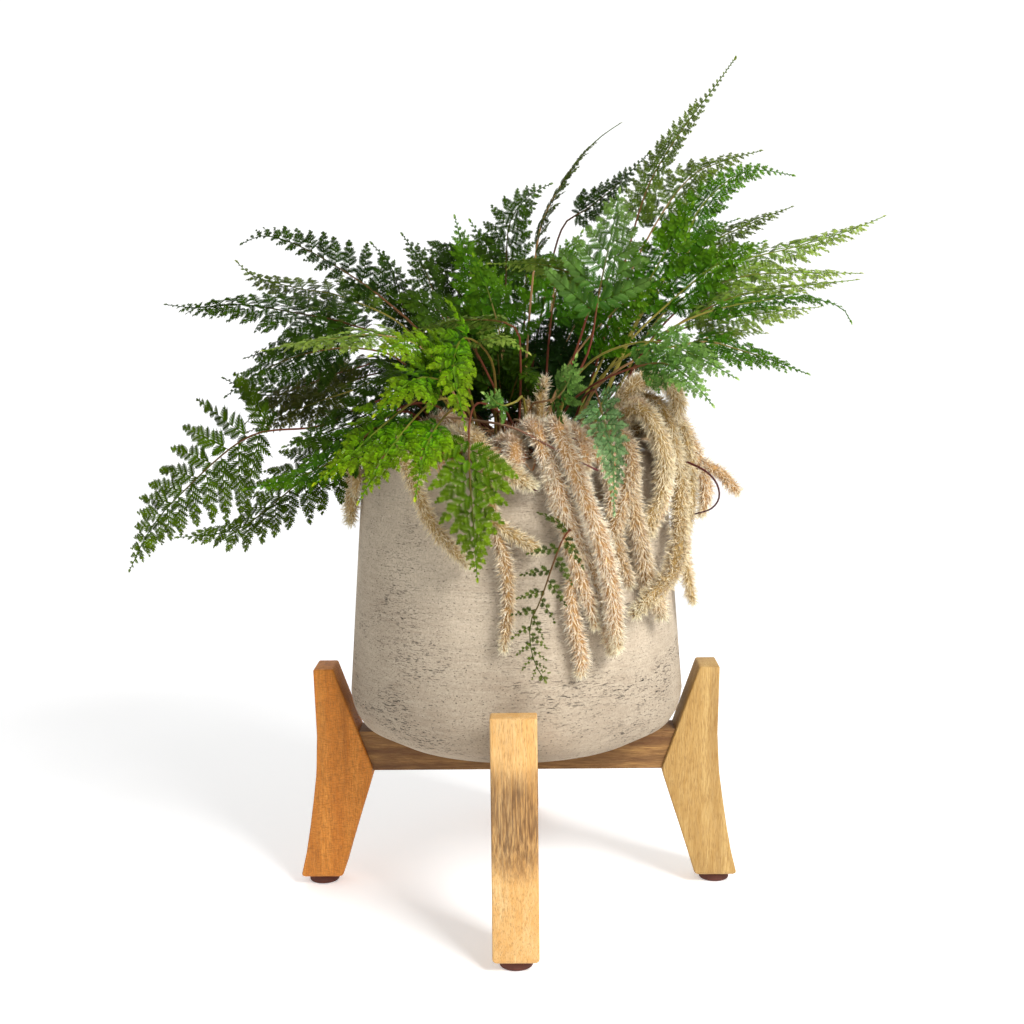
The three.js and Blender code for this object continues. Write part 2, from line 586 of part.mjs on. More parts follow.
      route: [[108, -48, 436], [152, -60, 464], [182, -66, 473], [212, -70, 476], [253, -70, 480]] },
  ] },
  { name: "frond_right_back_pair", leaf: "leafPale", base: [54, 20], fronds: [
    { blade: 115, width: 36, pairs: 5, face: [0, -0.5, 0.9],
      route: [[110, 40, 428], [155, 62, 450], [207, 80, 457], [261, 95, 462]] },
    { blade: 60, width: 16, pairs: 4, face: [0, -0.6, 0.8],
      route: [[112, 26, 418], [165, 34, 440], [206, 40, 441]] },
  ] },
  { name: "frond_right_front_pair", leaf: "leafMid", base: [48, -34], fronds: [
    { blade: 105, width: 20, pairs: 5, face: [0, -0.4, 0.9],
      route: [[64, -50, 408], [98, -78, 436], [134, -95, 456], [176, -100, 465], [204, -105, 467], [230, -108, 461], [239, -110, 449]] },
    { blade: 85, width: 24, pairs: 5, face: [0, -0.6, 0.8],
      route: [[60, -52, 400], [92, -90, 426], [132, -115, 437], [159, -120, 431], [180, -125, 424], [205, -130, 414]] },
  ] },
  { name: "frond_right_blue_pair", leaf: "leafBlue", base: [31, -51], fronds: [
    { blade: 80, width: 28, pairs: 5, face: [0, -0.8, 0.6],
      route: [[40, -64, 400], [60, -104, 427], [94, -134, 438], [120, -150, 430], [150, -165, 413]] },
    { blade: 62, width: 23, pairs: 5, face: [0.1, -0.9, 0.4],
      route: [[40, -70, 390], [64, -122, 412], [98, -160, 424], [117, -174, 414], [132, -180, 396]] },
  ] },
  { name: "frond_inner_left_pair", leaf: "leafMid", base: [-10, -24], fronds: [
    { blade: 70, width: 36, pairs: 5, face: [0, -0.9, 0.4],
      route: [[-8, -26, 430], [-16, -32, 470], [-28, -38, 502]] },
    { blade: 80, width: 38, pairs: 5, face: [0, -0.7, 0.7],
      route: [[-28, -28, 430], [-56, -34, 462], [-92, -42, 474]] },
  ] },
  { name: "frond_inner_right_pair", leaf: "leafMid", base: [24, -6], fronds: [
    { blade: 75, width: 36, pairs: 5, face: [0, -0.9, 0.4],
      route: [[28, 4, 430], [36, 10, 480], [56, 16, 522]] },
    { blade: 80, width: 34, pairs: 5, face: [0.2, -0.8, 0.5],
      route: [[44, -16, 420], [80, -36, 462], [112, -46, 482]] },
  ] },
];

// Fronds on the sides that the front view hides: a fan of even steps round the back.
const HIDDEN = { each: 3, from: 38, to: 128, baseRadius: 53, blade: 0.62, bladeMore: 15, width: 34, pairs: 4, lean: 0.25 };
const HIDDEN_SPRAYS = [
  { name: "frond_back_right", leaf: "leafDark" },
  { name: "frond_back_middle", leaf: "leafMid" },
  { name: "frond_back_left", leaf: "leafDark" },
];
// How far, how high and how much over each frond of the fan goes: a mean, a swing and the swing's turn.
const HIDDEN_REACH = { mean: 160, swing: 26, turn: 2.4, start: 0 };
const HIDDEN_RISE = { mean: 103, swing: 43, turn: 1.9, start: 1 };
const HIDDEN_DROP = { mean: 30, swing: 25, turn: 2.1, start: Math.PI / 2 };

const swung = ({ mean, swing, turn, start }, index) => mean + swing * Math.sin(turn * index + start);

function hiddenAngle(index) {
  const count = HIDDEN_SPRAYS.length * HIDDEN.each;
  return radians(HIDDEN.from + ((HIDDEN.to - HIDDEN.from) * index) / (count - 1));
}

function hiddenFrond(index) {
  const angle = hiddenAngle(index);
  const span = swung(HIDDEN_REACH, index) - HIDDEN.baseRadius;
  const top = SOIL.crownZ + swung(HIDDEN_RISE, index);
  const drop = swung(HIDDEN_DROP, index);
  const at = (share, z) => {
    const radius = HIDDEN.baseRadius + span * share;
    return [radius * Math.cos(angle), radius * Math.sin(angle), z];
  };
  const halfWay = (SOIL.crownZ + top) / 2;
  return {
    blade: HIDDEN.blade * span + HIDDEN.bladeMore,
    width: HIDDEN.width,
    pairs: HIDDEN.pairs,
    face: [HIDDEN.lean * Math.cos(angle), HIDDEN.lean * Math.sin(angle), 1],
    route: [at(0.25, halfWay), at(0.55, top), at(0.8, top - 0.3 * drop), at(1, top - drop)],
  };
}

function hiddenSpray({ name, leaf }, node) {
  const first = node * HIDDEN.each;
  const angle = hiddenAngle(first + (HIDDEN.each - 1) / 2);
  const base = [HIDDEN.baseRadius * Math.cos(angle), HIDDEN.baseRadius * Math.sin(angle)];
  const fronds = Array.from({ length: HIDDEN.each }, (_, i) => hiddenFrond(first + i));
  return { name, leaf, base, fronds };
}

// The sprig that sprouts from the main hank and hangs in front of the planter.
const SPRIG = {
  name: "frond_hanging_sprig",
  leaf: "leafOlive",
  start: [41, -127, 308],
  fronds: [
    { blade: 118, width: 24, pairs: 5, face: [0, -1, 0.1], stemRoot: 0.8,
      route: [[35, -138, 304], [28, -147, 290], [18, -150, 262], [10, -150, 243], [12, -149, 219], [20, -147, 203]] },
  ],
};

// Stations along a frond: the buried foot, the soil's surface, the bare stem, then one per pair of pinnae.
function ribStations(frond, foot, surface) {
  const curve = new THREE.CatmullRomCurve3([surface, ...frond.route.map(vector)], false, "catmullrom", 0.5);
  const length = curve.getLength();
  const bare = Math.max(0, 1 - frond.blade / length);
  const stems = Math.max(STEM.fewest, Math.round((bare * length) / STEM.step));
  const shares = Array.from({ length: stems }, (_, i) => (bare * i) / stems);
  for (let i = 0; i <= frond.pairs + 1; i++) {
    shares.push(bare + (1 - bare) * (1 - (1 - i / (frond.pairs + 1)) ** PAIR_CROWDING));
  }
  const root = frond.stemRoot ?? STEM.root;
  const face = vector(frond.face).normalize();
  const stations = shares.map((share) => {
    const along = curve.getTangentAt(share);
    const side = new THREE.Vector3().crossVectors(along, face).normalize();
    const up = new THREE.Vector3().crossVectors(side, along).normalize();
    return { centre: curve.getPointAt(share), along, side, up, size: root + (STEM.tip - root) * share };
  });
  if (foot) {
    const along = new THREE.Vector3(0, 0, 1);
    const side = new THREE.Vector3().crossVectors(along, stations[0].up).normalize();
    const up = new THREE.Vector3().crossVectors(side, along);
    Object.assign(stations[0], { along, side, up });
    stations.unshift({ ...stations[0], centre: foot });
  }
  const pairShares = Array.from({ length: frond.pairs }, (_, i) => i / (frond.pairs + 1));
  return { stations, firstPair: stations.length - frond.pairs - 2, shares: pairShares };
}

// The outline of a pinna: pairs of [share of its length, lower edge, upper edge] in shares of the spacing.
const PINNA_OUTLINES = {
  large: [[0.3, -0.46, 0.46], [0.62, -0.34, 0.36]],
  middle: [[0.45, -0.46, 0.44]],
  small: [],
};

function outlineFor(length) {
  if (length > PINNA.large) return PINNA_OUTLINES.large;
  return length > PINNA.middle ? PINNA_OUTLINES.middle : PINNA_OUTLINES.small;
}

function pinnaLength(frond, share, side) {
  const scale = frond.sides ? frond.sides[side > 0 ? 1 : 0] : 1;
  return frond.width * scale * (1 - share) ** PINNA.taper;
}

// A pinna between two stations: its rows of edge points and its apex, on the blade's middle surface.
function pinnaSurface(near, far, side, share, length) {
  const lean = radians(PINNA.lean + PINNA.tipLean * share);
  const spacing = near.centre.distanceTo(far.centre);
  const along = near.along.clone().add(far.along).normalize();
  const up = near.up.clone().add(far.up).normalize();
  const out = near.side.clone().add(far.side).normalize().multiplyScalar(side);
  const start = near.centre.clone().add(far.centre).multiplyScalar(0.5);
  const point = (reach, shift) =>
    start
      .clone()
      .addScaledVector(out, length * reach * Math.cos(lean))
      .addScaledVector(along, length * reach * Math.sin(lean) + shift * spacing)
      .addScaledVector(up, -PINNA.arch * length * reach * reach);
  const rows = outlineFor(length).map(([reach, low, high]) => [point(reach, low), point(reach, high)]);
  return { rows, apex: point(1, 0), up };
}

// Two faces and the edge between them, from matching rows on the upper and lower side.
function pinnaTriangles(top, bottom, side) {
  const faces = [];
  const flip = (triangle) => (side > 0 ? triangle : [triangle[0], triangle[2], triangle[1]]);
  const quad = (a, b, c, d) => faces.push(flip([a, b, c]), flip([a, c, d]));
  top.rows.slice(1).forEach((row, i) => {
    const [topLow, topHigh] = top.rows[i];
    const [bottomLow, bottomHigh] = bottom.rows[i];
    const under = bottom.rows[i + 1];
    quad(topLow, row[0], row[1], topHigh);
    quad(bottomLow, bottomHigh, under[1], under[0]);
    quad(topLow, bottomLow, under[0], row[0]);
    quad(topHigh, row[1], under[1], bottomHigh);
  });
  const [topLow, topHigh] = top.rows.at(-1);
  const [bottomLow, bottomHigh] = bottom.rows.at(-1);
  faces.push(flip([topLow, top.apex, topHigh]), flip([bottomLow, bottomHigh, bottom.apex]));
  quad(topLow, bottomLow, bottom.apex, top.apex);
  quad(topHigh, top.apex, bottom.apex, bottomHigh);
  return faces;
}

class FrondMesh {
  constructor() {
    this.points = [];
    this.triangles = [];
  }

  add(point) {
    return this.points.push(point) - 1;
  }

  // Corners of a square section: left top, right top, right bottom, left bottom.
  section({ centre, side, up, size }, growth) {
    const half = size + growth;
    return [[-1, 1], [1, 1], [1, -1], [-1, -1]].map(([s, u]) =>
      this.add(centre.clone().addScaledVector(side, s * half).addScaledVector(up, u * half)),
    );
  }

  quad(a, b, c, d) {
    this.triangles.push([a, b, c], [a, c, d]);
  }

  pinna(near, far, side, surface, thickness) {
    const face = (sign) => {
      const lift = surface.up.clone().multiplyScalar(sign * thickness);
      const corner = side > 0 ? (sign > 0 ? 1 : 2) : sign > 0 ? 0 : 3;
      const rows = surface.rows.map((row) => row.map((point) => this.add(point.clone().add(lift))));
      return { rows: [[near[corner], far[corner]], ...rows], apex: this.add(surface.apex.clone().add(lift)) };
    };
    this.triangles.push(...pinnaTriangles(face(1), face(-1), side));
  }

  solid() {
    return solidOf(meshGeometry(this.points, this.triangles));
  }
}

// One frond as a solid. lengthOf(pair, side) gives a pinna's length, or 0 for none.
function frondSolid({ stations, firstPair, shares }, lengthOf, growth = 0) {
  const mesh = new FrondMesh();
  const sections = stations.map((station) => mesh.section(station, growth));
  sections.slice(1).forEach((far, i) => {
    const near = sections[i];
    const pair = i - firstPair;
    mesh.quad(near[0], near[1], far[1], far[0]);
    mesh.quad(near[2], near[3], far[3], far[2]);
    [1, -1].forEach((side) => {
      const length = shares[pair] === undefined ? 0 : lengthOf(pair, side);
      if (length > 0) {
        const surface = pinnaSurface(stations[i], stations[i + 1], side, shares[pair], length);
        mesh.pinna(near, far, side, surface, BLADE_HALF_THICKNESS + growth);
      } else if (side > 0) {
        mesh.quad(near[1], near[2], far[2], far[1]);
      } else {
        mesh.quad(near[3], near[0], far[0], far[3]);
      }
    });
  });
  const [first, last] = [sections[0], sections.at(-1)];
  mesh.quad(first[3], first[2], first[1], first[0]);
  mesh.quad(last[0], last[1], last[2], last[3]);
  return mesh.solid();
}

// What stands in the way of a growing pinna, with the node that it belongs to.
class Obstacles {
  constructor() {
    this.items = [];
  }

  add(solid, owner) {
    this.items.push({ solid, owner, box: solid.boundingBox() });
  }

  clearOf(solid, owner) {
    const box = solid.boundingBox();
    const near = this.items.filter(
      (item) =>
        item.owner !== owner &&
        [0, 1, 2].every((k) => item.box.min[k] <= box.max[k] && box.min[k] <= item.box.max[k]),
    );
    return near.every((item) => item.solid.intersect(solid).isEmpty());
  }
}

const LENGTH_STEPS = [1, 0.82, 0.64, 0.46, 0.3];

// A single pinna with a stub of the rib that it grows from.
function pinnaProbe(rib, pair, side, length, growth) {
  const at = rib.firstPair + pair;
  const stub = { stations: rib.stations.slice(at, at + 2), firstPair: 0, shares: [rib.shares[pair]] };
  return frondSolid(stub, (_, s) => (s === side ? length : 0), growth);
}

function growFrond(rib, frond, owner, obstacles) {
  const chosen = new Map();
  rib.shares.forEach((share, pair) => {
    [1, -1].forEach((side) => {
      const full = pinnaLength(frond, share, side);
      const step = LENGTH_STEPS.find((part) =>
        obstacles.clearOf(pinnaProbe(rib, pair, side, full * part, CLEAR), owner),
      );
      chosen.set(`${pair} ${side}`, step ? full * step : 0);
      if (step) obstacles.add(pinnaProbe(rib, pair, side, full * step, 0), owner);
    });
  });
  return frondSolid(rib, (pair, side) => chosen.get(`${pair} ${side}`));
}

// The ribs of one spray: stems side by side in one hole, a little apart so that they join into one body.
function sprayRibs(spray) {
  return spray.fronds.map((frond, i) => {
    if (spray.start) return ribStations(frond, null, vector(spray.start));
    const turn = (i / spray.fronds.length) * 2 * Math.PI + STEM.turn;
    const spread = spray.fronds.length > 1 ? STEM.spread : 0;
    const [x, y] = [spray.base[0] + spread * Math.cos(turn), spray.base[1] + spread * Math.sin(turn)];
    const z = soilTop(Math.hypot(...spray.base));
    const surface = new THREE.Vector3(x, y, z + STEM.clearFoot);
    return ribStations(frond, new THREE.Vector3(x, y, z - STEM.depth), surface);
  });
}

function stemHole([x, y]) {
  const z = soilTop(Math.hypot(x, y));
  const { half, above } = STEM_HOLE;
  return solidOf(boxBetween([x - half, y - half, z - STEM.depth - FIT], [x + half, y + half, z + above]));
}

function buildPlant() {
  const planter = solidOf(turned(planterProfile(), PLANTER_SIDES));
  const pot = solidOf(turned(potProfile(), POT_SIDES));
  let soil = buildSoil();
  const obstacles = new Obstacles();
  obstacles.add(planter, "planter");
  obstacles.add(pot, "pot");
  obstacles.add(soil, "soil");

  const bunches = [...RHIZOMES, ...HIDDEN_RHIZOMES.map(hiddenBunch)];
  const rhizomes = bunches.map(({ name, fur, branches }) => {
    const solids = branches.map(({ route, radius }) => loft(rhizomeRings(route, radius, 0)));
    const sockets = branches.map(({ route, radius }) => loft(rhizomeRings(route, radius, FIT)));
    soil = sockets.reduce((rest, socket) => rest.subtract(socket), soil);
    return { name, fur, solid: solids.reduce((all, next) => all.add(next)) };
  });

  const sprays = [...FRONDS, ...HIDDEN_SPRAYS.map(hiddenSpray), SPRIG];
  const ribs = sprays.map(sprayRibs);
  sprays.forEach((spray, i) => {
    ribs[i].forEach((rib) => obstacles.add(frondSolid(rib, () => 0), spray.name));
    if (spray.base) soil = soil.subtract(stemHole(spray.base));
  });
  const hank = rhizomes.find(({ name }) => name === "rhizome_main_hank");
  const sprigStem = frondSolid(ribs.at(-1)[0], () => 0, FIT);
  hank.solid = hank.solid.subtract(sprigStem);
  rhizomes.forEach(({ name, solid }) => obstacles.add(solid, name));

  addPiece("planter", geometryOf(planter), "concrete");
  addPiece("nursery_pot", geometryOf(pot), "plastic");
  addPiece("soil", geometryOf(soil), "soil");
  rhizomes.forEach(({ name, fur, solid }) => addPiece(name, geometryOf(solid), fur));
  sprays.forEach((spray, i) => {
    const grown = spray.fronds.map((frond, k) => growFrond(ribs[i][k], frond, spray.name, obstacles));
    addPiece(spray.name, geometryOf(grown.reduce((all, next) => all.add(next))), spray.leaf);
  });
}

buildStand();
buildPlant();

export default group;
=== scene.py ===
"""A hare's-foot fern in its nursery pot, planter and oak stand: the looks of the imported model.

Sizes are in millimetres until a mesh is made, which is in metres, in the frame of the solids.
"""
import logging
import math
from dataclasses import dataclass, field
from enum import Enum
from typing import Any, Callable, Sequence

import bmesh
import bpy
import numpy as np
from bpy.types import Material, Object
from mathutils import Matrix, Vector, noise
from numpy.random import Generator


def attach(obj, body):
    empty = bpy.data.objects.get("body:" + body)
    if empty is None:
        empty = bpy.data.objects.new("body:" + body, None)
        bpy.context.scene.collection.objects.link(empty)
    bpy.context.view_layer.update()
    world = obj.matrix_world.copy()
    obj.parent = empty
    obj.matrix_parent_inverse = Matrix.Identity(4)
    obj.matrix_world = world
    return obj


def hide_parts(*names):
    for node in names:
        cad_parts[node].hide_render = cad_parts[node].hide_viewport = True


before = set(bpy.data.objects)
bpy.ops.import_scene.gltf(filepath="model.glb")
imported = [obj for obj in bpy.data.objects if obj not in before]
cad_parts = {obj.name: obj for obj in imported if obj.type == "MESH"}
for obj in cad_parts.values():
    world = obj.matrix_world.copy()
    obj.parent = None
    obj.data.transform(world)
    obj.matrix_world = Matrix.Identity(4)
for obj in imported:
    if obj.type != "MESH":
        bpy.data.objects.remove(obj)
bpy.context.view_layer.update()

LOG = logging.getLogger("potted_fern")
MM = 0.001
SEED = 20431
WELD = 1e-6  # metres: vertices nearer than this become one
NEAR = 1e-5  # metres: how near to a level a face's middle lies
BEVEL_ABOVE = 38  # degrees: edges that are sharper get a bevel
BEVEL_SEGMENTS = 3
Array = np.ndarray
Pair = tuple[float, float]
Point = tuple[float, float, float]


def linear(colour: str) -> Array:
    """Turns a screen colour such as "c5baac" into linear red, green and blue."""
    parts = np.array([int(colour[i : i + 2], 16) / 255 for i in (0, 2, 4)])
    return np.where(parts <= 0.04045, parts / 12.92, ((parts + 0.055) / 1.055) ** 2.4)


def unit(vectors: Array) -> Array:
    """Scales vectors to length 1."""
    return vectors / np.linalg.norm(vectors, axis=-1, keepdims=True)


# Shader maths


@dataclass(frozen=True)
class Signal:
    """A node socket that takes part in arithmetic; each operator adds a Math node."""

    shading: "Shading"
    socket: bpy.types.NodeSocket

    def _math(self, operation: str, first: Any, second: Any) -> "Signal":
        """The result of a new Math node."""
        return self.shading.node("ShaderNodeMath", {"operation": operation}, {0: first, 1: second})

    def __add__(self, other: Any) -> "Signal":
        """self + other."""
        return self._math("ADD", self, other)

    __radd__ = __add__

    def __sub__(self, other: Any) -> "Signal":
        """self - other."""
        return self._math("SUBTRACT", self, other)

    def __rsub__(self, other: Any) -> "Signal":
        """other - self."""
        return self._math("SUBTRACT", other, self)

    def __mul__(self, other: Any) -> "Signal":
        """self * other."""
        return self._math("MULTIPLY", self, other)

    __rmul__ = __mul__


class Shading:
    """Builds one material's nodes round a Principled shader."""

    def __init__(self, name: str, **constants: Any) -> None:
        """Starts the material.

        Args:
            name: The material's name.
            constants: Principled inputs that are the same all over, by name with underscores.
        """
        self.material = bpy.data.materials.new(name)
        self.material.use_nodes = True
        self.tree = self.material.node_tree
        self.surface = self.tree.nodes["Principled BSDF"]
        for key, value in constants.items():
            self.surface.inputs[key.replace("_", " ")].default_value = value

    def node(self, kind: str, settings: dict[str, Any], inputs: dict[Any, Any], output: Any = 0) -> Signal:
        """Adds a node: its settings first, then its sockets.

        Args:
            kind: The node's type.
            settings: Attributes of the node; "stops" fills a colour ramp.
            inputs: Socket name or number to a value or a Signal.
            output: The output that the Signal stands for.

        Returns:
            The output as a Signal.
        """
        made = self.tree.nodes.new(kind)
        for key, value in settings.items():
            if key == "stops":
                self._fill_ramp(made, value)
            else:
                setattr(made, key, value)
        for key, value in inputs.items():
            if isinstance(value, Signal):
                self.tree.links.new(value.socket, made.inputs[key])
            else:
                made.inputs[key].default_value = value
        return Signal(self, made.outputs[output])

    @staticmethod
    def _fill_ramp(ramp: bpy.types.Node, stops: Sequence[Pair]) -> None:
        """Sets a ramp's grey stops from (place, value) pairs."""
        elements = ramp.color_ramp.elements
        while len(elements) < len(stops):
            elements.new(0.5)
        for element, (place, value) in zip(elements, stops):
            element.position = place
            element.color = (value, value, value, 1)

    def place(self, scale: Point = (1, 1, 1), turn: Point = (0, 0, 0)) -> Signal:
        """Object coordinates in metres, scaled and turned."""
        here = self.node("ShaderNodeTexCoord", {}, {}, "Object")
        return self.node("ShaderNodeMapping", {}, {"Vector": here, "Scale": scale, "Rotation": turn})

    def height(self) -> Signal:
        """The height above the floor in metres."""
        here = self.node("ShaderNodeTexCoord", {}, {}, "Object")
        return self.node("ShaderNodeSeparateXYZ", {}, {0: here}, "Z")

    def attribute(self, name: str, output: str) -> Signal:
        """A mesh attribute's colour or number."""
        return self.node("ShaderNodeAttribute", {"attribute_name": name}, {}, output)

    def noise(self, vector: Signal, scale: float, detail: float = 4, rough: float = 0.55) -> Signal:
        """A noise pattern from 0 to 1."""
        values = {"Vector": vector, "Scale": scale, "Detail": detail, "Roughness": rough}
        return self.node("ShaderNodeTexNoise", {}, values)

    def ramp(self, value: Signal, *stops: Pair) -> Signal:
        """A grey ramp over a number."""
        return self.node("ShaderNodeValToRGB", {"stops": stops}, {0: value})

    def patches(
        self, scale: float, *stops: Pair, stretch: Point = (1, 1, 1), detail: float = 4, rough: float = 0.55
    ) -> Signal:
        """Noise through a grey ramp.

        Args:
            scale: How fine the noise is.
            stops: The ramp's (place, value) pairs.
            stretch: The scales along the object's axes.
            detail: The noise's octaves.
            rough: How strong the finer octaves are.

        Returns:
            A number from 0 to 1.
        """
        return self.ramp(self.noise(self.place(stretch), scale, detail, rough), *stops)

    def mix(self, share: Any, first: Any, second: Any, blend: str = "MIX") -> Signal:
        """A colour between two colours."""
        values = [x if isinstance(x, Signal) else (*x, 1.0) for x in (first, second)]
        settings = {"data_type": "RGBA", "blend_type": blend}
        return self.node("ShaderNodeMix", settings, {0: share, 6: values[0], 7: values[1]}, 2)

    def feed(self, **inputs: Signal) -> None:
        """Links signals to the Principled shader's inputs."""
        for key, value in inputs.items():
            self.tree.links.new(value.socket, self.surface.inputs[key.replace("_", " ")])

    def bump(self, height: Signal, distance: float, strength: float = 1.0) -> None:
        """Raises the surface by a pattern, distance in metres."""
        values = {"Height": height, "Distance": distance, "Strength": strength}
        self.feed(Normal=self.node("ShaderNodeBump", {}, values))


# Finishes


class Along(Enum):
    """The way a board's grain runs: pattern scales across and along it."""

    UP = (1.0, 1.0, 0.07)
    SIDE = (0.07, 1.0, 1.0)
    DEEP = (1.0, 0.07, 1.0)


@dataclass(frozen=True)
class Oak:
    """Oiled oak with open grain, dark streaks and saw marks; scorch is two heights in metres."""

    name: str
    pale: str
    dark: str
    along: Along = Along.UP
    streaks: float = 0.5
    saw: float = 0.0
    scorch: Pair | None = None
    streak: str = "5a3413"
    pore: str = "7a4a1c"
    cut: str = "8a4a12"
    burn: str = "4c2a10"

    def material(self) -> Material:
        """Makes the material."""
        shading = Shading(self.name)
        grain_place = shading.place(self.along.value)
        ripple = shading.noise(grain_place, 26, 3)
        places = {0: grain_place, 1: self._bend(shading, ripple)}
        bent = shading.node("ShaderNodeVectorMath", {"operation": "ADD"}, places)
        growth = shading.noise(bent, 95, 5, 0.6)
        fine = shading.noise(bent, 900, 4, 0.65)
        pores = shading.ramp(shading.noise(bent, 2400, 2), (0.36, 1), (0.46, 0))
        broad = shading.noise(shading.place(), 14, 2)
        share = shading.ramp(growth, (0.3, 0), (0.72, 1))
        wood = shading.mix(share * 0.75 + broad * 0.25, linear(self.pale), linear(self.dark))
        wood = shading.mix(shading.ramp(fine, (0.35, 0), (0.65, 0.75)), wood, linear(self.dark))
        dark_streaks = shading.ramp(shading.noise(bent, 42, 4), (0.56, 0), (0.7, 1))
        wood = shading.mix(dark_streaks * self.streaks, wood, linear(self.streak))
        wood = shading.mix(pores * 0.4, wood, linear(self.pore))
        raised = growth * 0.5 + fine * 0.3 - pores * 0.7
        if self.saw:
            kerf = shading.noise(shading.place((0.2, 0.2, 1.0), (0.3, 0.35, 0)), 1500, 2)
            marks = shading.ramp(kerf, (0.45, 0), (0.65, 1)) * self.saw
            wood = shading.mix(marks * 0.5, wood, linear(self.cut))
            raised = raised - marks
        if self.scorch:
            wood = shading.mix(self._scorched(shading), wood, linear(self.burn))
        shading.feed(Base_Color=wood, Roughness=0.6 + 0.2 * fine)
        shading.bump(raised, 0.0006, 0.5)
        return shading.material

    @staticmethod
    def _bend(shading: Shading, ripple: Signal) -> Signal:
        """A small sideways push that makes the grain wander."""
        push = (ripple - 0.5) * 0.004
        return shading.node("ShaderNodeCombineXYZ", {}, {0: push, 1: push, 2: 0.0})

    def _scorched(self, shading: Shading) -> Signal:
        """The worn dark patch between two heights, in streaks along the grain."""
        low, high = self.scorch
        middle, half = (low + high) / 2, (high - low) / 2
        away = (shading.height() - middle) * (1 / half)
        wander = shading.noise(shading.place((1, 1, 0.6)), 38, 3) - 0.5
        inside = shading.ramp(1 - away * away + wander * 1.6, (0.0, 0), (0.9, 1))
        streaks = shading.patches(900, (0.38, 0.4), (0.6, 1), stretch=(1, 1, 0.022), detail=3, rough=0.5)
        return inside * streaks * 0.8


@dataclass(frozen=True)
class Concrete:
    """Washed concrete: warm grey-beige, cloudy, faint level lines, short level pits and painted shade at the
    foot.
    """

    name: str = "washed_concrete"
    pale: str = "d2c2aa"
    dark: str = "a6947e"
    layer: str = "d2c3ac"
    line: str = "8c7b68"
    # The colour of the painted shade on the lower wall.
    foot: str = "6f5f4c"
    sand: str = "8a7c6a"
    pit: str = "2c241c"

    def material(self) -> Material:
        """Makes the material."""
        shading = Shading(self.name, Roughness=0.88)
        grain = shading.noise(shading.place(), 640, 3, 0.7)
        layers = shading.noise(shading.place((1, 1, 9)), 34, 6, 0.7)
        lines = shading.noise(shading.place((1, 1, 14)), 70, 5, 0.65)
        cloud = shading.patches(16, (0.3, 0), (0.7, 1), detail=5, rough=0.6)
        stone = shading.mix(cloud, linear(self.pale), linear(self.dark))
        stone = shading.mix(shading.ramp(layers, (0.35, 0), (0.65, 0.7)), stone, linear(self.layer))
        stone = shading.mix(shading.ramp(lines, (0.48, 0), (0.7, 0.28)), stone, linear(self.line))
        # Painted shade: the wall darkens from 240 mm above the floor down to its foot.
        stone = shading.mix(shading.ramp(shading.height(), (0.15, 0.4), (0.24, 0)), stone, linear(self.foot))
        stone = shading.mix(shading.ramp(grain, (0.35, 0), (0.7, 0.5)), stone, linear(self.sand))
        pits = self._pits(shading)
        stone = shading.mix(pits * 0.92, stone, linear(self.pit))
        shading.feed(Base_Color=stone)
        shading.bump(grain * 0.25 + layers * 0.2 - lines * 0.3 - pits, 0.0008, 0.9)
        return shading.material

    @staticmethod
    def _pits(shading: Shading) -> Signal:
        """Level pits, long and broad ones in clusters low down and fine ones all over."""
        low = shading.ramp(shading.height(), (0.17, 1), (0.33, 0.25))
        where = shading.patches(19, (0.47, 0.08), (0.58, 1), stretch=(1, 1, 1.8), detail=3)
        long_pits = shading.patches(190, (0.6, 0), (0.618, 1), stretch=(1, 1, 6), detail=5, rough=0.6)
        broad_pits = shading.patches(100, (0.606, 0), (0.618, 1), stretch=(1, 1, 5), detail=7, rough=0.7)
        fine_pits = shading.patches(480, (0.64, 0), (0.67, 1), stretch=(1, 1, 3), detail=3)
        clusters = (long_pits * 0.85 + broad_pits) * low * where
        everywhere = fine_pits * (0.35 + 0.5 * low)
        return shading.node("ShaderNodeMath", {"operation": "MAXIMUM"}, {0: clusters, 1: everywhere})


@dataclass(frozen=True)
class Plain:
    """A moulded finish with a little unevenness, for plastic and rubber."""

    name: str
    colour: str
    worn: str
    roughness: float
    grain: float = 260

    def material(self) -> Material:
        """Makes the material."""
        shading = Shading(self.name)
        speck = shading.noise(shading.place(), self.grain, 3)
        worn = shading.patches(40, (0.45, 0), (0.75, 1)) * 0.5
        colour = shading.mix(worn, linear(self.colour), linear(self.worn))
        shading.feed(Base_Color=colour, Roughness=self.roughness + 0.2 * speck)
        shading.bump(speck, 0.0002, 0.4)
        return shading.material


@dataclass(frozen=True)
class Compost:
    """Dark peat with paler bark and fibre specks."""

    name: str = "compost"
    dark: str = "1b120b"
    pale: str = "45301f"
    speck: str = "8a6a48"

    def material(self) -> Material:
        """Makes the material."""
        shading = Shading(self.name, Roughness=0.95)
        crumb = shading.noise(shading.place(), 260, 6, 0.7)
        peat = shading.mix(shading.ramp(crumb, (0.35, 0), (0.65, 1)), linear(self.dark), linear(self.pale))
        specks = shading.patches(520, (0.6, 0), (0.68, 1), detail=3) * 0.5
        shading.feed(Base_Color=shading.mix(specks, peat, linear(self.speck)))
        shading.bump(crumb, 0.003)
        return shading.material


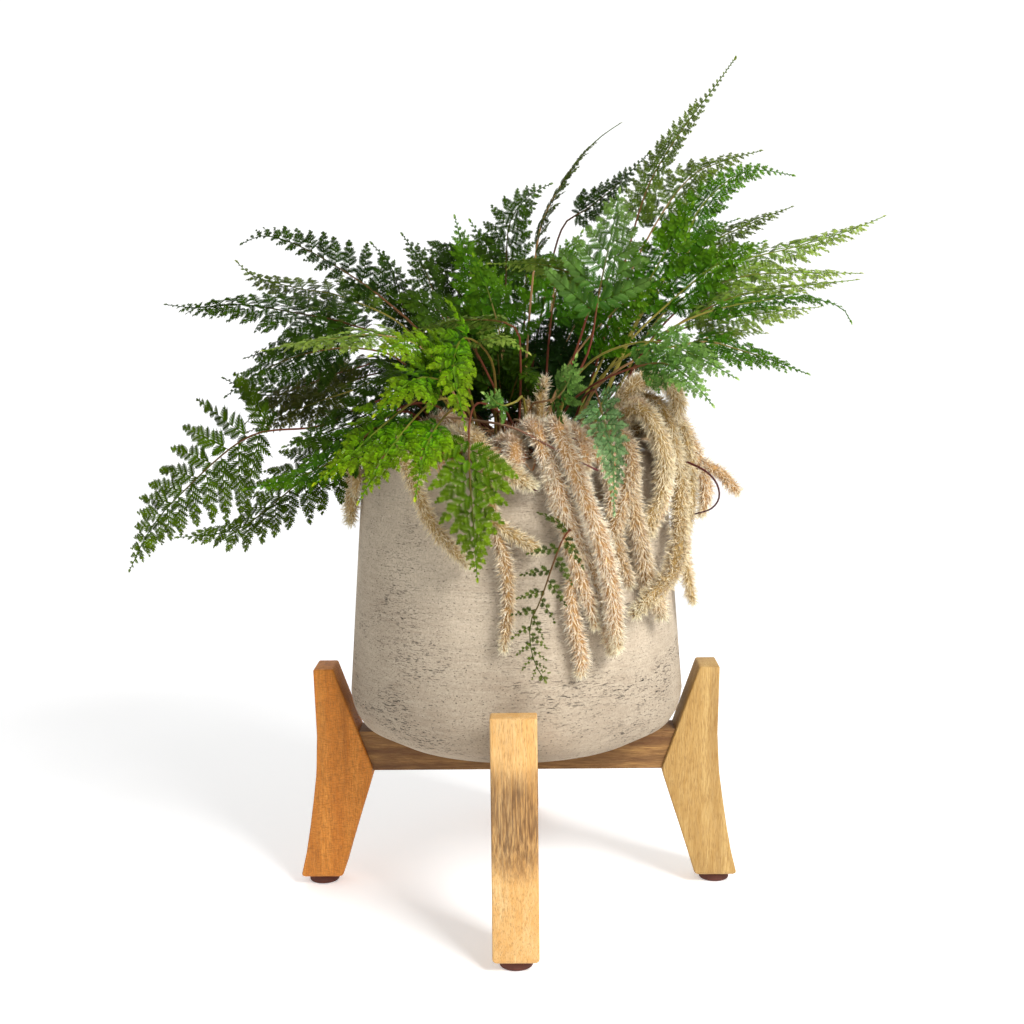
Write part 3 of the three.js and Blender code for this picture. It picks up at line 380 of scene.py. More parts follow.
@dataclass(frozen=True)
class Tinted:
    """A finish whose colour is painted on the mesh, for leaves, hair and fibre."""

    name: str
    roughness: float
    mottle: float
    grain: float
    sheen: float = 0.0
    gloss: float = 0.25
    shade: Point = (0.72, 0.74, 0.7)

    def material(self) -> Material:
        """Makes the material."""
        light = {"Sheen_Weight": self.sheen, "Specular_IOR_Level": self.gloss}
        shading = Shading(self.name, Roughness=self.roughness, **light)
        tint = shading.attribute("tint", "Color")
        darker = shading.mix(1.0, tint, self.shade, "MULTIPLY")
        spots = shading.patches(self.grain, (0.3, 0), (0.7, 1), detail=3) * self.mottle
        shading.feed(Base_Color=shading.mix(spots, tint, darker))
        return shading.material


# Modelling by hand


class Bench:
    """The operators that shape a new piece from a primitive, with selection made in code."""

    @staticmethod
    def clear() -> None:
        """Deselects everything in object mode."""
        if bpy.context.object and bpy.context.object.mode != "OBJECT":
            bpy.ops.object.mode_set(mode="OBJECT")
        bpy.ops.object.select_all(action="DESELECT")

    @staticmethod
    def start(name: str) -> Object:
        """Names the primitive just added and opens it for editing."""
        made = bpy.context.object
        made.name = name
        made.data.name = name
        bpy.ops.object.transform_apply(location=True, rotation=True, scale=True)
        bpy.ops.object.mode_set(mode="EDIT")
        return made

    @staticmethod
    def select(made: Object, kind: str, test: Callable[[Vector], bool]) -> None:
        """Selects the edges or faces whose middle passes a test.

        Args:
            made: The object in edit mode.
            kind: "edges" or "faces".
            test: Takes the middle in metres.
        """
        bpy.ops.mesh.select_mode(type={"edges": "EDGE", "faces": "FACE"}[kind])
        bpy.ops.mesh.select_all(action="DESELECT")
        mesh = bmesh.from_edit_mesh(made.data)
        for item in getattr(mesh, kind):
            if test(sum((vertex.co for vertex in item.verts), Vector()) / len(item.verts)):
                item.select_set(True)
        mesh.select_flush_mode()
        bmesh.update_edit_mesh(made.data)

    @staticmethod
    def grow(move: Point, scale: Point, centre: Point) -> None:
        """Extrudes what is selected by a move, then scales it about a centre."""
        bpy.ops.mesh.extrude_region_move(TRANSFORM_OT_translate={"value": move})
        bpy.ops.transform.resize(value=scale, center_override=centre)

    @staticmethod
    def finish(made: Object, angle: float = 35, bevel: float = 0.0) -> Object:
        """Closes seams, turns the faces out, bevels sharp edges and smooths the rest.

        Args:
            made: The object in edit mode.
            angle: The angle in degrees below which edges are smoothed.
            bevel: The bevel's width in millimetres, or 0 for none.

        Returns:
            The object, in object mode.
        """
        bpy.ops.mesh.select_all(action="SELECT")
        bpy.ops.mesh.remove_doubles(threshold=WELD)
        bpy.ops.mesh.normals_make_consistent(inside=False)
        bpy.ops.object.mode_set(mode="OBJECT")
        if bevel:
            modifier = made.modifiers.new("edges", "BEVEL")
            modifier.width = bevel * MM
            modifier.segments = BEVEL_SEGMENTS
            modifier.limit_method = "ANGLE"
            modifier.angle_limit = math.radians(BEVEL_ABOVE)
            bpy.ops.object.modifier_apply(modifier=modifier.name)
        bpy.ops.object.shade_smooth_by_angle(angle=math.radians(angle))
        return made

    @staticmethod
    def copy(made: Object, name: str, matrix: Matrix) -> Object:
        """A copy with its own mesh, moved in the mesh so that the object stays at the origin."""
        twin = bpy.data.objects.new(name, made.data.copy())
        twin.data.name = name
        twin.data.transform(matrix)
        bpy.context.collection.objects.link(twin)
        return twin

    @classmethod
    def sheet(cls, name: str, width: float, length: float) -> Object:
        """A plane that runs along Y from the origin, opened for editing."""
        cls.clear()
        bpy.ops.mesh.primitive_plane_add(size=1)
        made = bpy.context.object
        made.scale = (width, length, 1)
        made.location = (0, length / 2, 0)
        return cls.start(name)

    @classmethod
    def turned(cls, name: str, profile: Sequence[Pair], sides: int) -> Object:
        """A body of revolution, grown ring by ring from a circle.

        Args:
            name: The object's name.
            profile: (radius, height) in millimetres; the last ring meets the first.
            sides: The number of sides.

        Returns:
            The object in edit mode.
        """
        cls.clear()
        radius, height = profile[0]
        ring = {"vertices": sides, "radius": radius * MM, "location": (0, 0, height * MM)}
        bpy.ops.mesh.primitive_circle_add(fill_type="NOTHING", **ring)
        made = cls.start(name)
        bpy.ops.mesh.select_mode(type="EDGE")
        bpy.ops.mesh.select_all(action="SELECT")
        for next_radius, next_height in profile[1:]:
            ratio = next_radius / radius
            move = (0, 0, (next_height - height) * MM)
            cls.grow(move, (ratio, ratio, 1), (0, 0, next_height * MM))
            radius, height = next_radius, next_height
        return made


def arc(centre: Pair, radius: float, start: float, end: float, steps: int) -> list[Pair]:
    """Points on an arc, angles in degrees."""
    angles = np.radians(np.linspace(start, end, steps + 1))
    return [(centre[0] + radius * math.cos(a), centre[1] + radius * math.sin(a)) for a in angles]


def turned_point(radius: float, degrees: float, height: float) -> Point:
    """A point at a radius, an angle round the planter's axis and a height."""
    angle = math.radians(degrees)
    return (radius * math.cos(angle), radius * math.sin(angle), height)


def dress(made: Object, material: Material, slot: str, *nodes: str) -> None:
    """Gives a piece its finish, hides the nodes that it stands for, and lets it ride.

    Args:
        made: The piece.
        material: Its material.
        slot: Its slot in the record; not used.
        nodes: The nodes it stands for, if there are any.
    """
    made.data.materials.clear()
    made.data.materials.append(material)
    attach(made, "root")
    if nodes:
        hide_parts(*nodes)


def known(name: str) -> tuple[str, ...]:
    """The node that a piece stands for, or nothing where the piece has none."""
    return (name,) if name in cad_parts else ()


def repaint(node: str, material: Material) -> None:
    """Gives a carried-over node a better material."""
    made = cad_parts[node]
    made.data.materials.clear()
    made.data.materials.append(material)


# Curves and gathered meshes


def frames_of(across: Array, ahead: Array) -> Array:
    """Axes as (k, 3, 3) rows: across, ahead and the one at right angles to both."""
    return np.stack([across, ahead, np.cross(across, ahead)], axis=1)


class Spline:
    """A smooth curve through given points, read by its length."""

    SAMPLES = 24

    def __init__(self, points: Sequence[Sequence[float]]) -> None:
        """Samples the curve.

        Args:
            points: The points it passes through, in millimetres.
        """
        fixed = np.asarray(points, float)
        held = np.vstack([2 * fixed[0] - fixed[1], fixed, 2 * fixed[-1] - fixed[-2]])
        share = np.linspace(0, 1, self.SAMPLES, endpoint=False)[:, None]
        spans = []
        for before, start, end, after in zip(held, held[1:], held[2:], held[3:]):
            leave, arrive = (end - before) / 2, (after - start) / 2
            cubic = 2 * start - 2 * end + leave + arrive
            square = -3 * start + 3 * end - 2 * leave - arrive
            spans.append(start + leave * share + square * share**2 + cubic * share**3)
        self.points = np.vstack([*spans, fixed[-1:]])
        steps = np.linalg.norm(np.diff(self.points, axis=0), axis=1)
        self.run = np.concatenate([[0], np.cumsum(steps)])
        self.length = float(self.run[-1])

    def at(self, share: Array) -> Array:
        """Points at shares of the length."""
        where = np.clip(np.atleast_1d(share), 0, 1) * self.length
        return np.stack([np.interp(where, self.run, self.points[:, k]) for k in range(3)], axis=1)

    def along(self, share: Array) -> Array:
        """Unit tangents at shares of the length."""
        step = 0.004
        return unit(self.at(np.clip(share + step, 0, 1)) - self.at(np.clip(share - step, 0, 1)))


def carried(along: Array) -> tuple[Array, Array]:
    """Axes across a curve, carried from ring to ring without twist."""
    side = unit(np.cross(along[0], (0.3, 0.2, 1.0)))
    sides = [side]
    for tangent in along[1:]:
        side = unit(side - tangent * np.dot(side, tangent))
        sides.append(side)
    sides = np.array(sides)
    return sides, np.cross(along, sides)


@dataclass(frozen=True)
class Pattern:
    """A small shape that was modelled once: Y runs along it from 0 to 1."""

    points: Array
    faces: Array

    @property
    def edge(self) -> Array:
        """0 on the middle line, 1 at the widest point."""
        across = np.abs(self.points[:, 0])
        return across / across.max()

    @classmethod
    def taken_from(cls, made: Object) -> "Pattern":
        """Reads a finished object's triangles and removes the object."""
        bpy.ops.object.mode_set(mode="EDIT")
        bpy.ops.mesh.select_all(action="SELECT")
        bpy.ops.mesh.quads_convert_to_tris()
        bpy.ops.object.mode_set(mode="OBJECT")
        points = np.array([v.co for v in made.data.vertices])
        faces = np.array([p.vertices[:] for p in made.data.polygons])
        bpy.data.objects.remove(made)
        return cls(points, faces)

    def bent(self, droop: float, fold: float = 0) -> "Pattern":
        """The flat shape with its end drooping and its sides folded up."""
        points = self.points.copy()
        points[:, 2] = fold * np.abs(points[:, 0]) - droop * points[:, 1] ** 2
        return Pattern(points, self.faces)


class Sheaf:
    """Vertices, faces and painted colours of one piece, gathered before its mesh is made."""

    def __init__(self) -> None:
        """Starts empty."""
        self.points: list[Array] = []
        self.faces: list[Array] = []
        self.tints: list[Array] = []
        self.count = 0

    def add(self, points: Array, faces: Array, tints: Array) -> None:
        """Adds one mesh.

        Args:
            points: (n, 3) in millimetres.
            faces: (m, 3) or (m, 4) vertex numbers.
            tints: (n, 3) linear colours.
        """
        self.points.append(points)
        self.faces.append(faces + self.count)
        self.tints.append(np.broadcast_to(tints, points.shape))
        self.count += len(points)

    def add_copies(self, pattern: Pattern, origins: Array, frames: Array, sizes: Array, tints: Array) -> None:
        """Adds copies of a pattern.

        Args:
            pattern: The shape that was modelled once.
            origins: (k, 3) places.
            frames: (k, 3, 3) rows of the copies' own X, Y and Z axes.
            sizes: (k, 3) scales along those axes.
            tints: (k, n, 3) or (k, 1, 3) linear colours.
        """
        if not len(origins):
            return
        local = pattern.points[None] * sizes[:, None, :]
        world = origins[:, None, :] + np.einsum("knj,kjc->knc", local, frames)
        offsets = np.arange(len(origins))[:, None, None] * len(pattern.points)
        faces = (pattern.faces[None] + offsets).reshape(-1, pattern.faces.shape[1])
        colours = np.broadcast_to(tints, world.shape).reshape(-1, 3)
        self.add(world.reshape(-1, 3), faces, colours)

    def add_tube(
        self, centres: Array, sides: Array, ups: Array, radii: Array, tints: Array, corners: int
    ) -> None:
        """Adds a tube with closed ends.

        Args:
            centres: (n, 3) the middle line.
            sides: (n, 3) one axis across it.
            ups: (n, 3) the other axis across it.
            radii: (n,) radii.
            tints: (n, 3) linear colours.
            corners: Corners of the section.
        """
        turn = np.arange(corners) / corners * 2 * np.pi
        ring = np.cos(turn)[None, :, None] * sides[:, None] + np.sin(turn)[None, :, None] * ups[:, None]
        points = centres[:, None] + ring * radii[:, None, None]
        count = len(centres)
        rows, columns = np.meshgrid(np.arange(count - 1), np.arange(corners), indexing="ij")
        a = rows * corners + columns
        b = rows * corners + (columns + 1) % corners
        faces = np.stack([a, b, b + corners, a + corners], axis=-1).reshape(-1, 4)
        caps = np.array([[count * corners, (k + 1) % corners, k] for k in range(corners)])
        last = (count - 1) * corners
        tips = np.array([[count * corners + 1, last + k, last + (k + 1) % corners] for k in range(corners)])
        everything = np.vstack([points.reshape(-1, 3), centres[:1], centres[-1:]])
        colours = np.vstack([np.repeat(tints, corners, axis=0), tints[:1], tints[-1:]])
        base = self.count
        self.add(everything, faces, colours)
        self.faces += [caps + base, tips + base]

    def add_wire(self, centres: Array, face: Any, radii: Any, colour: Array) -> None:
        """Adds a thin three-cornered tube of one colour.

        Args:
            centres: (n, 3) the middle line.
            face: A direction that is nowhere along it.
            radii: (n,) radii, or one radius for all.
            colour: The linear colour.
        """
        count = len(centres)
        along = unit(np.gradient(centres, axis=0))
        sides = unit(np.cross(along, face))
        ups = np.cross(sides, along)
        self.add_tube(centres, sides, ups, np.broadcast_to(radii, count), np.tile(colour, (count, 1)), 3)

    def triangles(self) -> int:
        """The number of triangles so far."""
        return sum(len(faces) * (faces.shape[1] - 2) for faces in self.faces)

    def build(self, name: str, smooth: bool = True) -> Object:
        """Makes the mesh object.

        Args:
            name: The object's name.
            smooth: Whether its faces are shaded smooth.

        Returns:
            The object at the origin.
        """
        mesh = bpy.data.meshes.new(name)
        points = np.vstack(self.points) * MM
        mesh.vertices.add(len(points))
        mesh.vertices.foreach_set("co", points.astype(np.float32).ravel())
        loops = np.concatenate([faces.ravel() for faces in self.faces])
        totals = np.concatenate([np.full(len(faces), faces.shape[1]) for faces in self.faces])
        mesh.loops.add(len(loops))
        mesh.loops.foreach_set("vertex_index", loops.astype(np.int32))
        mesh.polygons.add(len(totals))
        starts = np.concatenate([[0], np.cumsum(totals)[:-1]])
        mesh.polygons.foreach_set("loop_start", starts.astype(np.int32))
        mesh.update(calc_edges=True)
        tint = mesh.attributes.new("tint", "FLOAT_COLOR", "POINT")
        colours = np.hstack([np.vstack(self.tints), np.ones((len(points), 1))])
        tint.data.foreach_set("color", np.clip(colours, 0, 1).astype(np.float32).ravel())
        mesh.polygons.foreach_set("use_smooth", np.full(len(totals), smooth))
        made = bpy.data.objects.new(name, mesh)
        bpy.context.collection.objects.link(made)
        return made


@dataclass(frozen=True)
class LeafletShape:
    """A leaflet drawn as a strip along the vein, with lobes pulled out of both sides."""

    name: str
    lobes: tuple[float, ...]
    vein: float
    blunt: float
    forward: float = 0.8
    fold: float = 0.3
    droop: float = 0.16
    end: float = 1.2
    point: float = 0.3

    def pattern(self) -> Pattern:
        """Models the leaflet once.

        Returns:
            Its shape, one unit long.
        """
        count = len(self.lobes)
        share = 1 / (count + self.end)
        made = Bench.sheet(self.name, 2 * self.vein, share)
        for step in range(1, count + 1):
            top = step * share
            last = step == count
            Bench.select(made, "edges", lambda middle: middle.y > top - 1e-4)
            scale = (self.point if last else 1, 1, 1)
            Bench.grow((0, share * (self.end if last else 1), 0), scale, (0, top + share, 0))
        for step, reach in enumerate(self.lobes):
            self._pull_lobe(made, (step + 0.5) * share, share, reach)
        return Pattern.taken_from(Bench.finish(made)).bent(self.droop, self.fold)

    def _pull_lobe(self, made: Object, y: float, share: float, reach: float) -> None:
        """Pulls one lobe out of each side of the strip, forwards and to a blunt end."""
        ahead = self.forward * reach
        for side in (1, -1):
            x = side * self.vein
            Bench.select(made, "edges", lambda at: abs(at.y - y) < share * 0.2 and abs(at.x - x) < 0.01)
            Bench.grow((side * reach, ahead, 0), (1, self.blunt, 1), (x + side * reach, y + ahead, 0))


# The plant, listed part by part


class Coloured(Enum):
    """Three colours of a growing thing, set as screen colours."""

    @property
    def colours(self) -> tuple[Array, ...]:
        """The linear colours."""
        return tuple(linear(colour) for colour in self.value)


class Leaf(Coloured):
    """The leaf colours: blade, blade's edge and young tip; DEEP is painted shade."""

    DARK = ("142800", "243f00", "48620c")
    MID = ("1c4400", "386a02", "6a8c14")
    BRIGHT = ("164600", "5c9600", "a8b81c")
    PALE = ("4a6c1e", "748c30", "acb456")
    OLIVE = ("30460c", "50641c", "788236")
    BLUE = ("2a5210", "547a32", "92ac5c")
    BROWN = ("2c380c", "444818", "605828")
    SAGE = ("446a36", "78985a", "b0c694")
    GRASS = ("263c00", "3e5800", "667c0e")
    LIME = ("2e4a00", "507202", "82961a")
    SPRIG = ("283608", "485618", "6e7636")
    # Painted shade: leaves darkened for the shade deep inside the plant, under and behind the other fronds.
    DEEP = ("102408", "1a3608", "2e4a16")

    @property
    def slot(self) -> str:
        """The record's material slot."""
        kin = {"SPRIG": "OLIVE", "DEEP": "DARK", "GRASS": "DARK", "LIME": "MID", "SAGE": "BLUE"}
        return "leaf_" + kin.get(self.name, self.name).lower()


class Fur(Coloured):
    """The rhizome hair colours: at the skin, in the middle and at the tip; the skin colour is partly the
    stem's own brown and partly painted shade among the hairs.
    """

    TAN = ("cc9a54", "ffeabc", "fffff2")
    CREAM = ("b8944c", "f4dca4", "fff8de")
    RUST = ("b08440", "eccc90", "fffae6")

    @property
    def slot(self) -> str:
        """The record's material slot."""
        return "fur_" + self.name.lower()


@dataclass(frozen=True)
class Frond:
    """One frond: its leafy length, lowest pinnae's length, the way it faces and its rib's route."""

    blade: float
    width: float
    face: Point
    route: tuple[Point, ...]
    sides: Pair = (1, 1)
    stem: float = 1.3
    full: float = 1.0
    leaf: Leaf | None = None
    taper: float = 0.92


@dataclass(frozen=True)
class Spray:
    """Fronds that stand in one hole of the soil, or sprout from a point."""

    name: str
    leaf: Leaf
    base: Pair | None
    fronds: tuple[Frond, ...]
    start: Point | None = None


@dataclass(frozen=True)
class Branch:
    """One creeping stem: its radius without hair and its route to the growing tip."""

    radius: float
    route: tuple[Point, ...]
    fur: Fur | None = None


@dataclass(frozen=True)
class Bunch:
    """Branches that are joined to one another."""

    name: str
    fur: Fur
    branches: tuple[Branch, ...]
    coat: float = 1.0


SPRAYS = (
    Spray("frond_low_left", Leaf.DARK, (-56, -22), (
        Frond(172, 56, (-0.1, -1, 0.25), ((-95, -45, 395), (-145, -55, 377), (-200, -50, 369),
            (-255, -42, 325), (-282, -33, 296), (-303, -20, 262)), leaf=Leaf.GRASS),
    )),
    Spray("frond_left_front_pair", Leaf.DARK, (-50, -33), (
        Frond(140, 44, (-0.15, -0.75, 0.7), ((-85, -65, 388), (-142, -85, 350), (-177, -100, 322),
            (-202, -105, 306), (-243, -110, 302)), leaf=Leaf.GRASS),
        Frond(84, 34, (0, -0.8, 0.6), ((-78, -72, 398), (-121, -92, 380), (-164, -105, 366))),
    )),
    Spray("frond_left_bright_pair", Leaf.BRIGHT, (-43, -42), (
        Frond(95, 28, (0, -0.6, 0.8), ((-55, -60, 390), (-82, -98, 392), (-119, -122, 362),
            (-149, -135, 348), (-186, -145, 340)), leaf=Leaf.MID),
        Frond(80, 30, (-0.3, -0.8, 0.5), ((-50, -62, 394), (-62, -116, 402), (-86, -145, 386),
            (-111, -162, 364), (-134, -172, 346))),
    )),
    Spray("frond_rim_bright_pair", Leaf.BRIGHT, (-34, -49), (
        Frond(75, 28, (-0.2, -0.6, 0.75), ((-40, -62, 392), (-56, -126, 398), (-76, -155, 378),
            (-90, -172, 358), (-104, -178, 334))),
        Frond(60, 20, (0, -0.6, 0.8), ((-33, -64, 385), (-43, -131, 392), (-56, -161, 376),
            (-62, -174, 357), (-66, -178, 336))),
    )),
    Spray("frond_left_brown_pair", Leaf.BROWN, (-52, 4), (
        Frond(120, 36, (0, -0.6, 0.8), ((-90, 25, 420), (-130, 45, 416), (-168, 60, 404), (-203, 70, 391),
            (-226, 75, 370))),
        Frond(105, 32, (0, -0.8, 0.6), ((-92, 2, 408), (-128, 2, 400), (-168, 6, 387), (-212, 10, 368))),
    )),
    Spray("frond_left_back_pair", Leaf.DARK, (-48, 24), (
        Frond(125, 38, (0, -0.8, 0.6), ((-100, 62, 410), (-146, 82, 402), (-212, 100, 393),
            (-250, 110, 408))),
        Frond(120, 42, (0, -0.7, 0.7), ((-95, 68, 436), (-146, 92, 440), (-191, 110, 436),
            (-234, 125, 424))),
    )),
    Spray("frond_left_arch", Leaf.DARK, (-34, 12), (
        Frond(125, 36, (0, -0.9, 0.3), ((-68, 12, 438), (-100, 10, 471), (-129, 15, 492), (-167, 25, 514),
            (-196, 30, 523), (-216, 35, 517)), sides=(0.5, 1)),
    )),
    Spray("frond_left_upper", Leaf.OLIVE, (-42, 36), (
        Frond(130, 38, (0, -0.6, 0.75), ((-80, 48, 442), (-137, 60, 474), (-175, 70, 482), (-214, 80, 493),
            (-230, 85, 506))),
    )),
    Spray("frond_left_long_pair", Leaf.DARK, (-54, -10), (
        Frond(165, 42, (0, -0.6, 0.8), ((-85, -10, 432), (-125, -10, 452), (-165, 0, 461), (-214, 10, 469),
            (-251, 20, 467), (-278, 30, 470))),
        Frond(105, 36, (0, -0.8, 0.6), ((-82, -16, 420), (-118, -20, 434), (-160, -22, 430),
            (-196, -22, 416), (-222, -20, 398))),
    )),
    Spray("frond_left_edge_on", Leaf.PALE, (-28, -34), (
        Frond(105, 32, (0.1, -0.3, 0.95), ((-62, -60, 430), (-97, -70, 444), (-130, -80, 442),
            (-153, -85, 439), (-180, -90, 434))),
    )),
    Spray("frond_top_left_pair", Leaf.DARK, (-20, 36), (
        Frond(75, 20, (0.3, -0.9, 0.2), ((-56, 48, 425), (-84, 60, 450), (-93, 68, 480), (-101, 78, 501),
            (-116, 80, 519))),
        Frond(65, 24, (0, -0.8, 0.5), ((-30, 48, 448), (-42, 62, 474), (-60, 78, 496), (-79, 88, 510))),
    )),
    Spray("frond_top_middle_pair", Leaf.MID, (-12, 22), (
        Frond(90, 30, (0, -0.9, 0.3), ((-20, 28, 440), (-26, 32, 470), (-37, 40, 506), (-45, 45, 537))),
        Frond(95, 36, (0, -0.9, 0.3), ((-6, 58, 448), (-10, 72, 480), (-22, 82, 516), (-34, 88, 537))),
    )),
    Spray("frond_top_middle", Leaf.DARK, (2, 32), (
        Frond(105, 36, (0.2, -0.9, 0.3), ((-4, 38, 450), (-4, 42, 502), (0, 46, 534), (16, 50, 554),
            (33, 55, 563))),
    )),
    Spray("frond_top_thin_pair", Leaf.OLIVE, (8, -8), (
        Frond(125, 24, (-0.75, -0.1, 0.65), ((12, -10, 440), (20, -10, 511), (30, -5, 541), (52, 0, 575),
            (70, 5, 593), (86, 10, 604))),
        Frond(84, 18, (0, -1, 0.2), ((22, 45, 450), (41, 78, 526), (62, 85, 544), (86, 90, 562),
            (117, 95, 592)), leaf=Leaf.DARK),
    )),
    Spray("frond_centre_pale_pair", Leaf.PALE, (24, -38), (
        Frond(90, 48, (-0.1, 0.9, 0.3), ((42, -56, 402), (57, -60, 432), (64, -58, 470), (69, -62, 495),
            (74, -68, 518), (79, -70, 546)), leaf=Leaf.BLUE),
        Frond(75, 22, (0, 0.5, 0.85), ((38, -52, 405), (54, -50, 450), (58, -46, 478), (26, -50, 494),
            (-16, -62, 495))),
    )),
    Spray("frond_centre_level_pair", Leaf.PALE, (4, -42), (
        Frond(85, 22, (0, 0.35, 0.95), ((6, -72, 425), (0, -84, 450), (-40, -104, 454), (-81, -118, 443))),
        Frond(50, 15, (0, -0.5, 0.9), ((-20, -90, 420), (-26, -108, 437), (-8, -120, 441),
            (11, -130, 431))),
    )),
    Spray("frond_front_bright_pair", Leaf.BRIGHT, (-24, -55), (
        Frond(72, 30, (0, -0.8, 0.6), ((-34, -98, 412), (-52, -122, 428), (-74, -140, 438),
            (-96, -150, 431))),
        Frond(66, 26, (-0.2, -0.9, 0.4), ((-38, -118, 404), (-60, -150, 416), (-76, -166, 408),
            (-92, -174, 392))),
    )),
    Spray("frond_front_bright", Leaf.BRIGHT, (-13, -58), (
        Frond(82, 27, (0.2, -0.95, 0.2), ((-14, -98, 422), (-32, -126, 442), (-40, -152, 424),
            (-32, -166, 382))),
    )),
    Spray("frond_front_hanging", Leaf.MID, (-2, -60), (
        Frond(98, 38, (0, -1, 0.15), ((-8, -70, 384), (-24, -112, 396), (-30, -142, 384), (-30, -156, 350),
            (-28, -158, 318), (-26, -154, 276)), leaf=Leaf.LIME),
    )),
    Spray("frond_front_pale_hanging", Leaf.BLUE, (41, -44), (
        Frond(88, 20, (0.2, 0.95, 0.1), ((50, -66, 392), (56, -102, 403), (58, -132, 403), (61, -154, 388),
            (67, -162, 364), (68, -160, 322)), leaf=Leaf.SAGE),
    )),
    Spray("frond_front_young_pair", Leaf.BLUE, (9, -59), (
        Frond(40, 20, (0, -0.9, 0.3), ((13, -70, 390), (22, -104, 396), (32, -122, 400), (40, -132, 414),
            (44, -136, 428))),
        Frond(30, 14, (-0.2, -0.9, 0.3), ((8, -72, 396), (2, -104, 396), (-8, -120, 394), (-14, -130, 400),
            (-20, -140, 404))),
    )),
    Spray("frond_tallest", Leaf.OLIVE, (50, 8), (
        Frond(150, 17, (0.45, -0.8, 0.2), ((76, 14, 450), (102, 20, 540), (118, 22, 575), (141, 25, 608),
            (157, 27, 628), (178, 30, 656))),
    )),
    Spray("frond_upper_right_pair", Leaf.MID, (58, -12), (
        Frond(135, 27, (0, -0.9, 0.4), ((95, -12, 450), (132, -10, 510), (145, -8, 537), (170, -5, 560),
            (192, 0, 566), (220, 5, 562))),
        Frond(60, 17, (0, -0.6, 0.8), ((102, 2, 458), (142, 22, 508), (158, 30, 523), (182, 35, 532))),
    )),
    Spray("frond_upper_back_pair", Leaf.OLIVE, (44, 30), (
        Frond(120, 28, (0.2, -0.7, 0.7), ((82, 46, 460), (117, 55, 529), (146, 60, 567), (173, 65, 580),
            (206, 70, 589))),
        Frond(105, 26, (0, -0.5, 0.85), ((110, 72, 460), (158, 90, 510), (206, 100, 534), (240, 110, 547))),
    )),
    Spray("frond_right_cluster_pair", Leaf.MID, (42, -14), (
        Frond(85, 36, (-0.2, -0.95, 0.3), ((78, -20, 440), (105, -24, 483), (122, -28, 513),
            (137, -32, 539))),
        Frond(85, 34, (0, -0.8, 0.6), ((84, -26, 430), (122, -34, 468), (158, -38, 496), (190, -40, 510))),
    )),
    Spray("frond_far_right_pair", Leaf.PALE, (63, 8), (
        Frond(170, 38, (-0.1, -0.5, 0.85), ((110, 15, 446), (149, 20, 478), (182, 25, 498), (222, 32, 508),
            (272, 42, 522), (303, 50, 534))),
        Frond(135, 34, (0, -0.45, 0.9), ((108, 4, 436), (144, -14, 472), (178, -20, 485), (220, -20, 487),
            (268, -20, 486))),
    )),
    Spray("frond_right_level", Leaf.PALE, (56, -22), (
        Frond(130, 30, (0, -0.35, 0.95), ((108, -48, 436), (152, -60, 464), (182, -66, 473),
            (212, -70, 476), (253, -70, 480))),
    )),
    Spray("frond_right_back_pair", Leaf.PALE, (54, 20), (
        Frond(115, 36, (0, -0.5, 0.9), ((110, 40, 428), (155, 62, 450), (207, 80, 457), (261, 95, 462))),
        Frond(60, 16, (0, -0.6, 0.8), ((112, 26, 418), (165, 34, 440), (206, 40, 441))),
    )),
    Spray("frond_right_front_pair", Leaf.MID, (48, -34), (
        Frond(105, 20, (0, -0.4, 0.9), ((64, -50, 408), (98, -78, 436), (134, -95, 456), (176, -100, 465),
            (204, -105, 467), (230, -108, 461), (239, -110, 449))),
        Frond(85, 24, (0, -0.6, 0.8), ((60, -52, 400), (92, -90, 426), (132, -115, 437), (159, -120, 431),
            (180, -125, 424), (205, -130, 414))),
    )),
    Spray("frond_right_blue_pair", Leaf.BLUE, (31, -51), (
        Frond(80, 28, (0, -0.8, 0.6), ((40, -64, 400), (60, -104, 427), (94, -134, 438), (120, -150, 430),
            (150, -165, 413))),
        Frond(62, 23, (0.1, -0.9, 0.4), ((40, -70, 390), (64, -122, 412), (98, -160, 424), (117, -174, 414),
            (132, -180, 396))),
    )),
    Spray("frond_inner_left_pair", Leaf.MID, (-10, -24), (
        Frond(70, 36, (0, -0.9, 0.4), ((-8, -26, 430), (-16, -32, 470), (-28, -38, 502))),
        Frond(80, 38, (0, -0.7, 0.7), ((-28, -28, 430), (-56, -34, 462), (-92, -42, 474)), leaf=Leaf.DARK),
    )),
    Spray("frond_inner_right_pair", Leaf.MID, (24, -6), (
        Frond(75, 36, (0, -0.9, 0.4), ((28, 4, 430), (36, 10, 480), (56, 16, 522))),
        Frond(80, 34, (0.2, -0.8, 0.5), ((44, -16, 420), (80, -36, 462), (112, -46, 482))),
    )),
)

